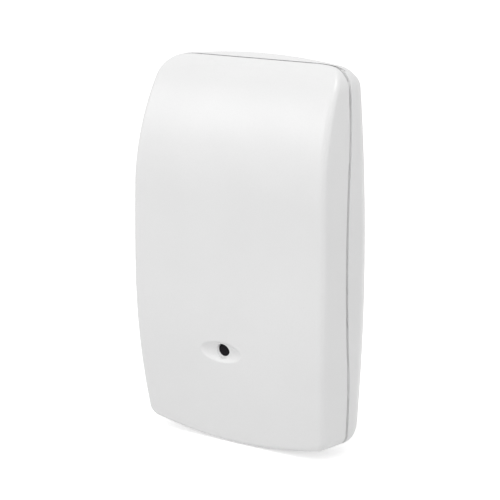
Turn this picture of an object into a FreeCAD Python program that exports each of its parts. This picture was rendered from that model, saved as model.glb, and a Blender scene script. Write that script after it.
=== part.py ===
import FreeCAD, Part
import math
import os
import re

import Sketcher
from FreeCAD import Placement, Rotation, Vector

# Wall-mounted glass break sensor: a bowed two-part housing with a sound port, a circuit
# board and its parts inside.  Millimetres, +Z up, the front faces -Y, the wall is y = 0
# and the origin is the middle of the back.  "ahead" is the distance in front of the wall.

# Driving dimensions: alias, value and meaning.
SIZES = [
    ("width", 61.4, "housing, side to side at mid-height"),
    ("height", 98.6, "housing, top to bottom on the centre line"),
    ("depth", 20.1, "housing, wall to the flat of the front"),
    ("side_bow", 2.5, "how far the sides bulge"),
    ("top_bow", 2.6, "how far the top bulges"),
    ("bottom_bow", 3.9, "how far the bottom bulges"),
    ("top_corner", 6.1, "corner radius at the top, seen from the front"),
    ("bottom_corner", 3.4, "corner radius at the bottom"),
    ("widest_ahead", 4.5, "plane of the widest section"),
    ("back_taper", 2.4, "how far the back edge draws in at the wall"),
    ("front_draft", 0.7, "draft of the sides towards the front, degrees"),
    ("front_bevel", 0.9, "broken edge between front and sides"),
    ("crown_radius", 59.8, "arc of the front's upper third"),
    ("crown_drop", 34.8, "start of that arc below the top"),
    ("crest_radius", 18.0, "tighter arc over the top"),
    ("crest_rise", 1.98, "how far the crest arc would stand above the top"),
    ("chin_radius", 205.7, "arc of the lower front"),
    ("chin_rise", 41.35, "start of that arc above the bottom"),
    ("seam_mid", 10.55, "seam ahead of the wall at mid-height"),
    ("seam_end", 7.43, "seam ahead of the wall at top and bottom"),
    ("seam_gap", 0.95, "shadow gap between cover and base"),
    ("wall", 2.0, "cover wall"),
    ("base_floor", 2.0, "base floor"),
    ("tongue_thick", 0.9, "tongue of the base inside the cover"),
    ("tongue_clear", 0.25, "clearance between tongue and cover wall"),
    ("tongue_reach", 2.2, "tongue past the seam"),
    ("tongue_top", 9.3, "end of the side tongues below the top"),
    ("least_corner", 0.5, "smallest inner corner radius"),
    ("hook_lip", 1.1, "hook pivot ahead of the cover's rim"),
    ("hook_cover", 1.33, "hook pivot below the crest surface"),
    ("hook_radius", 0.5, "round nose of the hook lugs"),
    ("hook_neck", 0.7, "neck under the nose"),
    ("hook_clear", 0.1, "clearance round the nose"),
    ("hook_x", 12.0, "hook lugs either side of the centre line"),
    ("hook_width", 6.0, "width of a hook lug"),
    ("hook_side_clear", 0.25, "side clearance of a hook lug"),
    ("hook_arm", 1.7, "thickness of the lug's arm"),
    ("hook_crook", 1.3, "arm below the pivot"),
    ("pry_width", 9.0, "pry notch in the cover's bottom rim"),
    ("pry_depth", 1.4, "pry notch, into the rim"),
    ("grip_radius", 0.4, "round-backed grip bumps on the bottom tongue"),
    ("grip_proud", 0.12, "grip bumps, stand-off from the tongue"),
    ("grip_length", 1.6, "length of a grip bump"),
    ("grip_x", 9.0, "grip bumps either side of the centre line"),
    ("mic_rise", 25.0, "sound port above the bottom"),
    ("mic_side", 1.7, "sound port left of the middle"),
    ("dish_width", 13.0, "oval dish round the sound port"),
    ("dish_height", 5.3, "height of the dish"),
    ("dish_depth", 1.1, "depth of the dish"),
    ("dish_crown", 1.3, "centre of the dish's ellipsoid ahead of the front"),
    ("port_bore", 3.6, "sound port"),
    ("port_land", 1.0, "wall left at the port"),
    ("felt_bore", 8.4, "acoustic felt disc"),
    ("felt_thick", 0.6, "felt thickness"),
    ("felt_clear", 0.1, "clearance round the felt"),
    ("collar_wall", 1.4, "collar round the felt"),
    ("collar_lip", 0.25, "collar past the felt"),
    ("collar_bite", 0.8, "collar into the cover wall"),
    ("boot_gap", 0.3, "gap between collar and microphone boot"),
    ("boot_wall", 1.2, "rubber boot wall"),
    ("capsule_bore", 9.7, "microphone capsule diameter"),
    ("capsule_height", 6.2, "microphone capsule height"),
    ("capsule_fit", 0.05, "clearance between capsule and boot"),
    ("capsule_port", 2.0, "opening in the capsule's face"),
    ("capsule_face", 0.5, "depth of that opening"),
    ("board_side", 5.7, "board in from the housing's side at mid-height"),
    ("board_height", 65.0, "circuit board"),
    ("board_thick", 1.6, "circuit board"),
    ("board_corner", 2.0, "circuit board corner radius"),
    ("board_rise", 13.8, "board's lower edge above the bottom"),
    ("standoff", 4.6, "standoff height over the floor"),
    ("standoff_bore", 5.6, "standoff diameter"),
    ("standoff_side", 3.5, "standoff centre in from the board's side"),
    ("standoff_top", 4.0, "upper standoffs below the board's top edge"),
    ("standoff_bottom", 15.5, "lower standoffs above the board's lower edge"),
    ("pin_bore", 2.2, "locating pin through the board"),
    ("pin_proud", 1.0, "locating pin past the board"),
    ("pin_clear", 0.1, "clearance round pins and screws in the board"),
    ("screw_shank", 2.2, "board screw shank"),
    ("screw_length", 5.0, "board screw below its head"),
    ("screw_head", 4.6, "board screw head diameter"),
    ("screw_head_height", 1.7, "board screw head height"),
    ("screw_slot", 0.7, "screw driver slot width"),
    ("screw_slot_depth", 0.8, "screw driver slot depth"),
    ("screw_fit", 0.05, "pilot hole around the shank"),
    ("fixing_bore", 4.2, "wall screw slots, width"),
    ("fixing_slot", 6.6, "wall screw slots, overall length"),
    ("fixing_x", 18.0, "wall screw slots either side of the centre line"),
    ("fixing_pitch", 75.0, "wall screw slots, upper to lower"),
    ("fixing_rise", 9.3, "lower wall screw slots above the bottom"),
    ("fixing_pad", 1.9, "raised pad round a wall screw slot"),
    ("fixing_pad_height", 0.6, "height of that pad"),
    ("entry_width", 16.0, "cable entry"),
    ("entry_height", 7.5, "cable entry"),
    ("entry_rise", 9.0, "cable entry centre above the bottom"),
    ("rib_thick", 1.0, "stiffening ribs of the base floor"),
    ("rib_height", 1.8, "stiffening ribs over the floor"),
    ("rib_x", 13.0, "long ribs either side of the centre line"),
    ("terminal_pitch", 5.08, "terminals of one block"),
    ("terminal_ways", 3, "terminals in one block"),
    ("terminal_edge", 0.96, "block in from the board's side"),
    ("terminal_depth", 7.3, "block, up the board"),
    ("terminal_room", 2.7, "block's face behind the flat of the cover's inside"),
    ("terminal_well", 2.9, "screw well diameter"),
    ("terminal_chamfer", 1.2, "cut edge of the block's face"),
    ("terminal_throat", 3.6, "wire opening width"),
    ("terminal_throat_height", 3.4, "wire opening, over the board"),
    ("terminal_sill", 0.9, "plastic under the wire opening"),
    ("terminal_back", 1.2, "plastic behind the wire opening"),
    ("clamp_clear", 0.1, "clearance round the clamps"),
    ("clamp_wall", 0.5, "clamp sheet thickness"),
    ("clamp_inset", 0.6, "clamps behind the block's wire face"),
    ("terminal_screw_bore", 2.6, "terminal screw head"),
    ("terminal_recess", 0.8, "terminal screw behind the block's face"),
    ("tamper_edge", 8.0, "tamper switch in from the board's left side"),
    ("tamper_up", 7.0, "tamper switch above the board's centre"),
    ("tamper_side", 6.2, "tamper switch body"),
    ("tamper_height", 4.2, "tamper switch body over the board"),
    ("tamper_collar", 3.6, "tamper switch collar diameter"),
    ("tamper_collar_height", 1.0, "tamper switch collar"),
    ("plunger_bore", 2.4, "tamper plunger diameter"),
    ("plunger_fit", 0.06, "clearance round the plunger"),
    ("plunger_proud", 0.8, "plunger past the collar when pressed"),
    ("plunger_seat", 3.2, "plunger inside the switch"),
    ("post_bore", 4.0, "cover's post over the plunger"),
    ("post_gap", 0.1, "gap between post and plunger"),
    ("post_root", 0.6, "post into the cover wall"),
    ("dip_edge", 12.0, "range switch in from the board's right side"),
    ("dip_down", 6.0, "range switch below the board's centre"),
    ("dip_ways", 4, "sliders of the range switch"),
    ("dip_pitch", 2.54, "sliders"),
    ("dip_margin", 2.0, "range switch past its end sliders"),
    ("dip_height", 6.2, "range switch, up the board"),
    ("dip_tall", 3.2, "range switch over the board"),
    ("dip_window", 4.0, "slider window length"),
    ("dip_window_width", 1.5, "slider window width"),
    ("dip_window_depth", 1.4, "slider window depth"),
    ("slider_side", 1.3, "slider width"),
    ("slider_length", 1.7, "slider length"),
    ("slider_proud", 0.7, "slider past the switch face"),
    ("slider_fit", 0.04, "slider above the window's floor"),
    ("slider_end", 0.2, "slider from the window's end"),
    ("relay_edge", 12.0, "alarm relay in from the board's right side"),
    ("relay_up", 23.0, "alarm relay above the board's centre"),
    ("relay_length", 14.0, "alarm relay"),
    ("relay_width", 9.0, "alarm relay"),
    ("relay_height", 5.0, "alarm relay over the board"),
    ("relay_round", 0.5, "alarm relay corners"),
    ("lead_thick", 0.25, "chip leads"),
    ("lead_foot", 0.8, "chip lead foot"),
    ("lead_height", 1.0, "chip lead over the board where it leaves the package"),
    ("lead_reach", 1.35, "chip lead past the package"),
    ("package_lift", 0.1, "package over the board"),
    ("package_slope", 0.25, "how far a package draws in at its face"),
    ("controller_up", 7.0, "microcontroller above the board's centre"),
    ("controller_length", 12.8, "microcontroller package"),
    ("controller_width", 7.5, "microcontroller package"),
    ("controller_height", 2.4, "microcontroller package"),
    ("controller_leads", 10, "leads on each side"),
    ("amplifier_rise", 13.3, "amplifier above the microphone"),
    ("amplifier_length", 8.65, "amplifier package"),
    ("amplifier_width", 3.9, "amplifier package"),
    ("amplifier_height", 1.6, "amplifier package"),
    ("amplifier_leads", 7, "leads on each side"),
    ("regulator_edge", 7.0, "voltage regulator in from the board's left side"),
    ("regulator_up", 18.0, "voltage regulator above the board's centre"),
    ("regulator_length", 6.5, "voltage regulator package"),
    ("regulator_width", 3.5, "voltage regulator package"),
    ("regulator_height", 1.7, "voltage regulator package"),
    ("regulator_leads", 3, "leads on each side"),
    ("chip_pitch", 1.27, "lead pitch of the signal chips"),
    ("chip_lead_width", 0.42, "lead width of the signal chips"),
    ("regulator_pitch", 2.3, "lead pitch of the regulator"),
    ("regulator_lead_width", 0.75, "lead width of the regulator"),
    ("can_bore", 6.3, "electrolytic capacitor can"),
    ("can_height", 5.4, "can over its base"),
    ("can_base", 6.6, "square base of the can"),
    ("can_base_height", 1.0, "base of the can"),
    ("can_base_cut", 1.6, "cut corners of that base"),
    ("can_edge", 13.5, "electrolytic capacitors in from the board's left side"),
    ("can_down", 10.0, "lower capacitor below the board's centre"),
    ("can_pitch", 8.2, "electrolytic capacitors"),
    ("coil_edge", 4.8, "power inductor in from the board's left side"),
    ("coil_down", 6.0, "power inductor below the board's centre"),
    ("coil_side", 6.8, "power inductor"),
    ("coil_cut", 1.7, "cut corners of the inductor"),
    ("coil_height", 3.4, "power inductor over the board"),
    ("coil_bore", 5.0, "wound core of the inductor"),
    ("coil_core", 0.4, "core past the inductor's frame"),
    ("crystal_up", 15.6, "crystal above the board's centre"),
    ("crystal_length", 10.8, "crystal can"),
    ("crystal_width", 4.5, "crystal can"),
    ("crystal_height", 3.5, "crystal can over its flange"),
    ("crystal_flange", 0.5, "crystal flange"),
    ("crystal_flange_height", 0.8, "crystal flange"),
    ("diode_edge", 12.4, "surge diodes in from the board's sides"),
    ("diode_rise", 3.8, "surge diodes above the microphone"),
    ("diode_length", 4.4, "surge diode package"),
    ("diode_width", 3.6, "surge diode package"),
    ("diode_height", 2.2, "surge diode package"),
    ("diode_tab", 0.6, "surge diode tab"),
    ("diode_tab_width", 2.0, "surge diode tab"),
    ("led_length", 3.2, "indicator lamps"),
    ("led_width", 1.6, "indicator lamps"),
    ("led_base", 0.5, "lamp base over the board"),
    ("led_lens", 0.9, "lamp lens over its base"),
    ("led_margin", 0.5, "lens in from the lamp's ends"),
    ("led_slope", 0.15, "how far the lens draws in at its front"),
    ("led_edge", 13.5, "first lamp in from the board's left side"),
    ("led_pitch", 5.5, "lamps"),
    ("led_up", 25.0, "lamps above the board's centre"),
    ("header_edge", 9.0, "jumper header in from the board's right side"),
    ("header_up", 6.0, "jumper header above the board's centre"),
    ("header_pitch", 2.54, "jumper pins"),
    ("header_height", 2.5, "header strip over the board"),
    ("header_pin", 0.64, "jumper pin side"),
    ("header_pin_height", 6.6, "jumper pins over the board"),
    ("cap_wall", 0.7, "jumper cap wall"),
    ("cap_height", 5.0, "jumper cap"),
    ("cap_roof", 0.6, "jumper cap end"),
    ("cap_fit", 0.05, "jumper cap round its pins"),
    ("resistor_length", 2.0, "chip resistor"),
    ("resistor_width", 1.25, "chip resistor"),
    ("resistor_height", 0.5, "chip resistor"),
    ("resistor_edge", 9.0, "first resistor of a row in from the board's right side"),
    ("resistor_pitch", 2.9, "resistors along a row"),
    ("resistor_row", 2.2, "rows of resistors"),
    ("resistor_up", 29.0, "lower row above the board's centre"),
    ("resistor_count", 6, "resistors in a row"),
    ("ceramic_height", 0.95, "chip capacitor"),
    ("ceramic_pitch", 2.5, "capacitors along their row"),
    ("ceramic_rise", 7.5, "row of capacitors above the microphone"),
    ("ceramic_count", 3, "capacitors in the row"),
    ("margin", 6.0, "cutting tools past the housing"),
    ("bite", 0.5, "how far a rib or post runs into its wall"),
]

# Places worked out from the driving dimensions.
PLACES = [
    ("half_width", "width / 2"),
    ("half_height", "height / 2"),
    ("side_radius", "(half_height^2 + side_bow^2) / (2 * side_bow)"),
    ("top_radius", "(half_width^2 + top_bow^2) / (2 * top_bow)"),
    ("bottom_radius", "(half_width^2 + bottom_bow^2) / (2 * bottom_bow)"),
    ("crown_z", "half_height - crown_drop"),
    ("crest_z", "half_height + crest_rise - crest_radius"),
    ("crown_ahead", "depth - crown_radius"),
    ("crest_ahead", "crown_ahead + sqrt((crown_radius - crest_radius)^2 - (crest_z - crown_z)^2)"),
    ("chin_z", "chin_rise - half_height"),
    ("chin_ahead", "depth - chin_radius"),
    ("seam_step", "(seam_mid - seam_end) / 2"),
    ("seam_quarter", "height / 4"),
    ("seam_radius", "(seam_quarter^2 + seam_step^2) / (2 * seam_step)"),
    ("tongue_inset", "wall + tongue_clear"),
    ("cavity_inset", "tongue_inset + tongue_thick"),
    ("tongue_top_z", "half_height - tongue_top"),
    ("grip_orbit", "bottom_radius - tongue_inset - grip_radius + grip_proud"),
    ("base_rim", "seam_end - seam_gap / 2"),
    ("cover_rim", "seam_end + seam_gap / 2"),
    ("pivot_ahead", "cover_rim + hook_lip"),
    ("pivot_z", "crest_z + sqrt((crest_radius - hook_cover)^2 - (pivot_ahead - crest_ahead)^2)"),
    ("mic_x", "-mic_side"),
    ("mic_z", "mic_rise - half_height"),
    ("mic_front", "chin_ahead + sqrt(chin_radius^2 - (chin_z - mic_z)^2)"),
    ("dish_floor", "mic_front - dish_depth"),
    ("dish_reach", "dish_crown + dish_depth"),
    ("dish_spread", "sqrt(1 - (dish_crown / dish_reach)^2)"),
    ("felt_front", "dish_floor - port_land"),
    ("felt_back", "felt_front - felt_thick"),
    ("collar_back", "felt_back - collar_lip"),
    ("boot_front", "collar_back - boot_gap"),
    ("board_back", "base_floor + standoff"),
    ("board_front", "board_back + board_thick"),
    ("board_half", "half_width - board_side"),
    ("board_bottom", "board_rise - half_height"),
    ("board_top", "board_bottom + board_height"),
    ("board_z", "board_bottom + board_height / 2"),
    ("standoff_x", "board_half - standoff_side"),
    ("standoff_high", "board_top - standoff_top"),
    ("standoff_low", "board_bottom + standoff_bottom"),
    ("fixing_low", "fixing_rise - half_height"),
    ("fixing_high", "fixing_low + fixing_pitch"),
    ("entry_z", "entry_rise - half_height"),
    ("terminal_length", "terminal_pitch * terminal_ways + clamp_wall"),
    ("terminal_z", "board_bottom + clamp_clear"),
    ("terminal_x", "board_half - terminal_edge - terminal_length / 2"),
    ("terminal_front", "depth - wall - terminal_room"),
    ("tamper_x", "tamper_edge - board_half"),
    ("tamper_z", "board_z + tamper_up"),
    ("tamper_face", "board_front + tamper_height + tamper_collar_height"),
    ("plunger_tip", "tamper_face + plunger_proud"),
    ("post_tip", "plunger_tip + post_gap"),
    ("dip_x", "board_half - dip_edge"),
    ("dip_z", "board_z - dip_down"),
    ("dip_length", "dip_pitch * (dip_ways - 1) + 2 * dip_margin"),
    ("dip_face", "board_front + dip_tall"),
    ("slider_back", "dip_face - dip_window_depth + slider_fit"),
    ("slider_z", "dip_z - dip_window / 2 + slider_end"),
    ("capsule_front", "board_front + capsule_height"),
    ("boot_bore", "capsule_bore + 2 * capsule_fit"),
    ("boot_outer", "boot_bore + 2 * boot_wall"),
    ("relay_x", "board_half - relay_edge"),
    ("regulator_x", "regulator_edge - board_half"),
    ("can_x", "can_edge - board_half"),
    ("coil_x", "coil_edge - board_half"),
    ("led_x", "led_edge - board_half"),
    ("header_x", "board_half - header_edge"),
]

doc = FreeCAD.newDocument("glass_break_sensor")
NODES = []


def fill_sheet(name, rows):
    sheet = doc.addObject("Spreadsheet::Sheet", name)
    for number, (alias, content, remark) in enumerate(rows, start=1):
        sheet.set(f"A{number}", remark)
        sheet.set(f"B{number}", content)
        sheet.setAlias(f"B{number}", alias)
    doc.recompute()
    return sheet


HOME = {alias: "sizes." + alias for alias, value, meaning in SIZES}
HOME.update({alias: "places." + alias for alias, formula in PLACES})


def bound(text):
    """The same formula with each alias led by the name of its sheet."""
    return re.sub(r"[a-z][a-z_]*", lambda word: HOME.get(word.group(), word.group()), text)


sizes = fill_sheet("sizes", [(alias, str(value), meaning) for alias, value, meaning in SIZES])
places = fill_sheet("places", [(alias, "=" + bound(formula), "") for alias, formula in PLACES])


def number(alias):
    """The present value of one alias of either sheet."""
    sheet, cell = HOME[alias].split(".")
    return float(getattr(doc.getObject(sheet), cell))


def node(item, label):
    item.Label = label
    NODES.append(item)
    return item


# Part primitives, given by formulas.  Lengths run along x, ahead of the wall and up z.

def block(name, left, right, back, front, low, high):
    box = doc.addObject("Part::Box", name)
    box.setExpression("Length", bound(f"({right}) - ({left})"))
    box.setExpression("Width", bound(f"({front}) - ({back})"))
    box.setExpression("Height", bound(f"({high}) - ({low})"))
    box.setExpression("Placement.Base.x", bound(left))
    box.setExpression("Placement.Base.y", bound(f"-({front})"))
    box.setExpression("Placement.Base.z", bound(low))
    return box


def slab(name, x, z, length, width, back, front):
    """A block centred on x and z."""
    return block(name, f"{x} - ({length}) / 2", f"{x} + ({length}) / 2", back, front,
                 f"{z} - ({width}) / 2", f"{z} + ({width}) / 2")


def rod(name, x, z, bore, back, front):
    """A cylinder that points ahead, given by its diameter."""
    cylinder = doc.addObject("Part::Cylinder", name)
    cylinder.Placement = Placement(Vector(), Rotation(Vector(1, 0, 0), 90))
    cylinder.setExpression("Radius", bound(f"({bore}) / 2"))
    cylinder.setExpression("Height", bound(f"({front}) - ({back})"))
    cylinder.setExpression("Placement.Base.x", bound(x))
    cylinder.setExpression("Placement.Base.y", bound(f"-({back})"))
    cylinder.setExpression("Placement.Base.z", bound(z))
    return cylinder


def wedge(name, x, z, length, width, back, front, slope):
    """A moulded package: a block that draws in by slope at its front face."""
    shape = doc.addObject("Part::Wedge", name)
    shape.setExpression("Ymin", bound(f"-({front})"))
    shape.setExpression("Ymax", bound(f"-({back})"))
    for edge, middle, size in (("X", x, length), ("Z", z, width)):
        shape.setExpression(f"{edge}min", bound(f"{middle} - ({size}) / 2 + {slope}"))
        shape.setExpression(f"{edge}max", bound(f"{middle} + ({size}) / 2 - {slope}"))
        shape.setExpression(f"{edge}2min", bound(f"{middle} - ({size}) / 2"))
        shape.setExpression(f"{edge}2max", bound(f"{middle} + ({size}) / 2"))
    return shape


def fuse(name, items):
    joined = doc.addObject("Part::MultiFuse", name)
    joined.Shapes = items
    joined.Refine = True
    return joined


def cut(name, base, tool):
    left = doc.addObject("Part::Cut", name)
    left.Base = base
    left.Tool = tool
    left.Refine = True
    return left


def group(name, items):
    """Separate solids that share one node."""
    together = doc.addObject("Part::Compound", name)
    together.Links = items
    return together


# Sketches.  On XZ_Plane the sketch's normal points ahead; on YZ_Plane it points along +x
# and distances ahead of the wall run to the left.

def sketch_on(body, name, role, lift="0"):
    sketch = body.newObject("Sketcher::SketchObject", name)
    plane = [face for face in body.Origin.OriginFeatures if face.Role == role][0]
    sketch.AttachmentSupport = [(plane, "")]
    sketch.MapMode = "FlatFace"
    sketch.setExpression("AttachmentOffset.Base.z", bound(lift))
    return sketch


def dimension(sketch, formula, value, kind, *where):
    row = sketch.addConstraint(Sketcher.Constraint(kind, *where, value))
    sketch.setExpression(f"Constraints[{row}]", bound(formula))


START, END, CENTRE = range(1, 4)
ACROSS, UPRIGHT = range(-1, -3, -1)
ORIGIN = (ACROSS, START)
AXIS = Vector(0, 0, 1)


def add_arc(sketch, centre, radius, first, last):
    circle = Part.Circle(Vector(*centre, 0), AXIS, radius)
    return sketch.addGeometry(Part.ArcOfCircle(circle, first, last))


def add_line(sketch, first, last):
    return sketch.addGeometry(Part.LineSegment(Vector(*first, 0), Vector(*last, 0)))


def bearing(centre, point):
    return math.atan2(point[1] - centre[1], point[0] - centre[0])


def corner_centre(side, side_radius, cap, cap_radius, corner):
    """Centre of the arc that touches the side and the cap from inside."""
    reach_side = side_radius - corner
    reach_cap = cap_radius - corner
    span = math.dist(side, cap)
    along = (reach_side**2 - reach_cap**2 + span**2) / (2 * span)
    off = math.sqrt(reach_side**2 - along**2)
    ux = (cap[0] - side[0]) / span
    uz = (cap[1] - side[1]) / span
    choices = [(side[0] + along * ux - off * uz, side[1] + along * uz + off * ux),
               (side[0] + along * ux + off * uz, side[1] + along * uz - off * ux)]
    return max(choices, key=lambda point: point[0])


def outline_sketch(body, name, inset, lift):
    """The bowed outline seen from the front, drawn in by inset: eight tangent arcs."""
    gap = number(inset) if inset else 0.0
    less = f" - {inset}" if inset else ""
    sketch = sketch_on(body, name, "XZ_Plane", lift)
    side_radius = number("side_radius") - gap
    top_radius = number("top_radius") - gap
    bottom_radius = number("bottom_radius") - gap
    side_x = number("side_radius") - number("half_width")
    top_z = number("top_radius") - number("half_height")
    bottom_z = number("bottom_radius") - number("half_height")
    upper = max(number("top_corner") - gap, number("least_corner"))
    lower = max(number("bottom_corner") - gap, number("least_corner"))
    side = (-side_x, 0.0)
    top = (0.0, -top_z)
    bottom = (0.0, bottom_z)
    high = corner_centre(side, side_radius, top, top_radius, upper)
    low = corner_centre(side, side_radius, bottom, bottom_radius, lower)
    side_low = bearing(side, low)
    side_high = bearing(side, high)
    top_right = bearing(top, high)
    bottom_right = bearing(bottom, low)
    arcs = [
        add_arc(sketch, side, side_radius, side_low, side_high),
        add_arc(sketch, high, upper, side_high, top_right),
        add_arc(sketch, top, top_radius, top_right, math.pi - top_right),
        add_arc(sketch, (-high[0], high[1]), upper, math.pi - top_right, math.pi - side_high),
        add_arc(sketch, (side_x, 0.0), side_radius, math.pi - side_high, math.pi - side_low),
        add_arc(sketch, (-low[0], low[1]), lower, math.pi - side_low, math.pi - bottom_right),
        add_arc(sketch, bottom, bottom_radius, math.pi - bottom_right, bottom_right),
        add_arc(sketch, low, lower, bottom_right, side_low),
    ]
    right, high_right, cap, high_left, left, low_left, foot, low_right = arcs
    for first, second in zip(arcs, arcs[1:] + arcs[:1]):
        sketch.addConstraint(Sketcher.Constraint("Tangent", first, END, second, START))
    for arc in (right, left):
        sketch.addConstraint(Sketcher.Constraint("PointOnObject", arc, CENTRE, ACROSS))
        dimension(sketch, "side_radius" + less, side_radius, "Radius", arc)
    for arc in (cap, foot):
        sketch.addConstraint(Sketcher.Constraint("PointOnObject", arc, CENTRE, UPRIGHT))
    dimension(sketch, "side_radius - half_width", side_x, "DistanceX", right, CENTRE, *ORIGIN)
    dimension(sketch, "side_radius - half_width", side_x, "DistanceX", *ORIGIN, left, CENTRE)
    dimension(sketch, "top_radius" + less, top_radius, "Radius", cap)
    dimension(sketch, "top_radius - half_height", top_z, "DistanceY", cap, CENTRE, *ORIGIN)
    dimension(sketch, "bottom_radius" + less, bottom_radius, "Radius", foot)
    dimension(sketch, "bottom_radius - half_height", bottom_z, "DistanceY", *ORIGIN, foot, CENTRE)
    for corner, arc, twin, radius in (("top_corner", high_right, high_left, upper),
                                      ("bottom_corner", low_right, low_left, lower)):
        dimension(sketch, f"max({corner}{less}; least_corner)", radius, "Radius", arc)
        sketch.addConstraint(Sketcher.Constraint("Equal", arc, twin))
    return sketch


def front_sketch(body, name, inset):
    """What lies ahead of the front, drawn in by inset: chin, flat, crown and crest."""
    gap = number(inset) if inset else 0.0
    less = f" - {inset}" if inset else ""
    sketch = sketch_on(body, name, "YZ_Plane")
    face = number("depth") - gap
    edge = number("depth") + number("margin")
    top = number("crest_z") + number("crest_radius") - gap
    ceiling = top + number("margin")
    floor = -number("half_height") - number("margin")
    chin = (-number("chin_ahead"), number("chin_z"))
    crown = (-number("crown_ahead"), number("crown_z"))
    crest = (-number("crest_ahead"), number("crest_z"))
    chin_radius = number("chin_radius") - gap
    crown_radius = number("crown_radius") - gap
    crest_radius = number("crest_radius") - gap
    turn = bearing(crown, crest)
    dip = math.pi + math.asin((chin[1] - floor) / chin_radius)
    foot = (chin[0] + chin_radius * math.cos(dip), floor)
    head = (crest[0], top)
    chin_arc = add_arc(sketch, chin, chin_radius, math.pi, dip)
    flat = add_line(sketch, (-face, crown[1]), (-face, chin[1]))
    crown_arc = add_arc(sketch, crown, crown_radius, turn, math.pi)
    crest_arc = add_arc(sketch, crest, crest_radius, math.pi / 2, turn)
    rise = add_line(sketch, head, (head[0], ceiling))
    over = add_line(sketch, (head[0], ceiling), (-edge, ceiling))
    down = add_line(sketch, (-edge, ceiling), (-edge, floor))
    under = add_line(sketch, (-edge, floor), foot)
    rules = [
        ("Tangent", crest_arc, END, crown_arc, START),
        ("Tangent", crown_arc, END, flat, START),
        ("Tangent", flat, END, chin_arc, START),
        ("Coincident", crest_arc, START, rise, START),
        ("Coincident", rise, END, over, START),
        ("Coincident", over, END, down, START),
        ("Coincident", down, END, under, START),
        ("Coincident", under, END, chin_arc, END),
        ("Vertical", flat),
        ("Vertical", rise),
        ("Vertical", down),
        ("Horizontal", over),
        ("Horizontal", under),
        ("Vertical", crest_arc, START, crest_arc, CENTRE),
    ]
    for rule in rules:
        sketch.addConstraint(Sketcher.Constraint(*rule))
    dimension(sketch, "chin_radius" + less, chin_radius, "Radius", chin_arc)
    dimension(sketch, "crown_radius" + less, crown_radius, "Radius", crown_arc)
    dimension(sketch, "crest_radius" + less, crest_radius, "Radius", crest_arc)
    dimension(sketch, "depth" + less, face, "DistanceX", flat, START, *ORIGIN)
    dimension(sketch, "crown_z", crown[1], "DistanceY", *ORIGIN, crown_arc, CENTRE)
    dimension(sketch, "crest_z", crest[1], "DistanceY", *ORIGIN, crest_arc, CENTRE)
    dimension(sketch, "-chin_z", -chin[1], "DistanceY", chin_arc, CENTRE, *ORIGIN)
    dimension(sketch, "margin", number("margin"), "DistanceY", rise, START, rise, END)
    dimension(sketch, "depth + margin", edge, "DistanceX", down, START, *ORIGIN)
    dimension(sketch, "half_height + margin", -floor, "DistanceY", down, END, *ORIGIN)
    return sketch


def seam_sketch(body, name, shift, ahead):
    """What lies ahead of the seam, or behind it, with the seam moved by shift."""
    sketch = sketch_on(body, name, "YZ_Plane")
    move = shift[1]
    middle = number("seam_mid") + move
    end = number("seam_end") + move
    radius = number("seam_radius")
    quarter = number("seam_quarter")
    reach = number("half_height")
    limit = reach + number("margin")
    edge = number("depth") + number("margin") if ahead else -number("margin")
    swing = math.asin(quarter / radius)
    hump = add_arc(sketch, (radius - middle, 0.0), radius, math.pi - swing, math.pi + swing)
    high = add_arc(sketch, (-end - radius, reach), radius, -swing, 0.0)
    low = add_arc(sketch, (-end - radius, -reach), radius, 0.0, swing)
    head = add_line(sketch, (-end, reach), (-end, limit))
    over = add_line(sketch, (-end, limit), (-edge, limit))
    down = add_line(sketch, (-edge, limit), (-edge, -limit))
    under = add_line(sketch, (-edge, -limit), (-end, -limit))
    foot = add_line(sketch, (-end, -limit), (-end, -reach))
    rules = [
        ("Tangent", high, START, hump, START),
        ("Tangent", low, END, hump, END),
        ("Tangent", high, END, head, START),
        ("Tangent", low, START, foot, END),
        ("Coincident", head, END, over, START),
        ("Coincident", over, END, down, START),
        ("Coincident", down, END, under, START),
        ("Coincident", under, END, foot, START),
        ("Vertical", head),
        ("Vertical", foot),
        ("Vertical", down),
        ("Horizontal", over),
        ("Horizontal", under),
        ("Equal", hump, high),
        ("Equal", hump, low),
        ("PointOnObject", hump, CENTRE, ACROSS),
    ]
    for rule in rules:
        sketch.addConstraint(Sketcher.Constraint(*rule))
    dimension(sketch, "seam_radius", radius, "Radius", hump)
    dimension(sketch, f"seam_radius - seam_mid - ({shift[0]})", radius - middle,
              "DistanceX", *ORIGIN, hump, CENTRE)
    dimension(sketch, "half_height", reach, "DistanceY", *ORIGIN, head, START)
    dimension(sketch, "half_height + margin", limit, "DistanceY", *ORIGIN, head, END)
    dimension(sketch, "half_height + margin", limit, "DistanceY", foot, START, *ORIGIN)
    if ahead:
        dimension(sketch, "depth + margin", edge, "DistanceX", down, START, *ORIGIN)
    else:
        dimension(sketch, "margin", -edge, "DistanceX", *ORIGIN, down, START)
    return sketch


def new_body(name):
    return doc.addObject("PartDesign::Body", name)


def pad(body, sketch, name, length):
    feature = body.newObject("PartDesign::Pad", name)
    feature.Profile = sketch
    feature.setExpression("Length", bound(length))
    body.Tip = feature
    return feature


def pocket_through(body, sketch, name):
    """Cuts the sketch's area right across the body, both ways."""
    feature = body.newObject("PartDesign::Pocket", name)
    feature.Profile = sketch
    feature.SideType = "Symmetric"
    feature.Type = "ThroughAll"
    body.Tip = feature
    return feature


def combine(body, name, kind, others):
    feature = body.newObject("PartDesign::Boolean", name)
    feature.Type = kind
    feature.Group = others
    body.Tip = feature
    return feature


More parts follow.
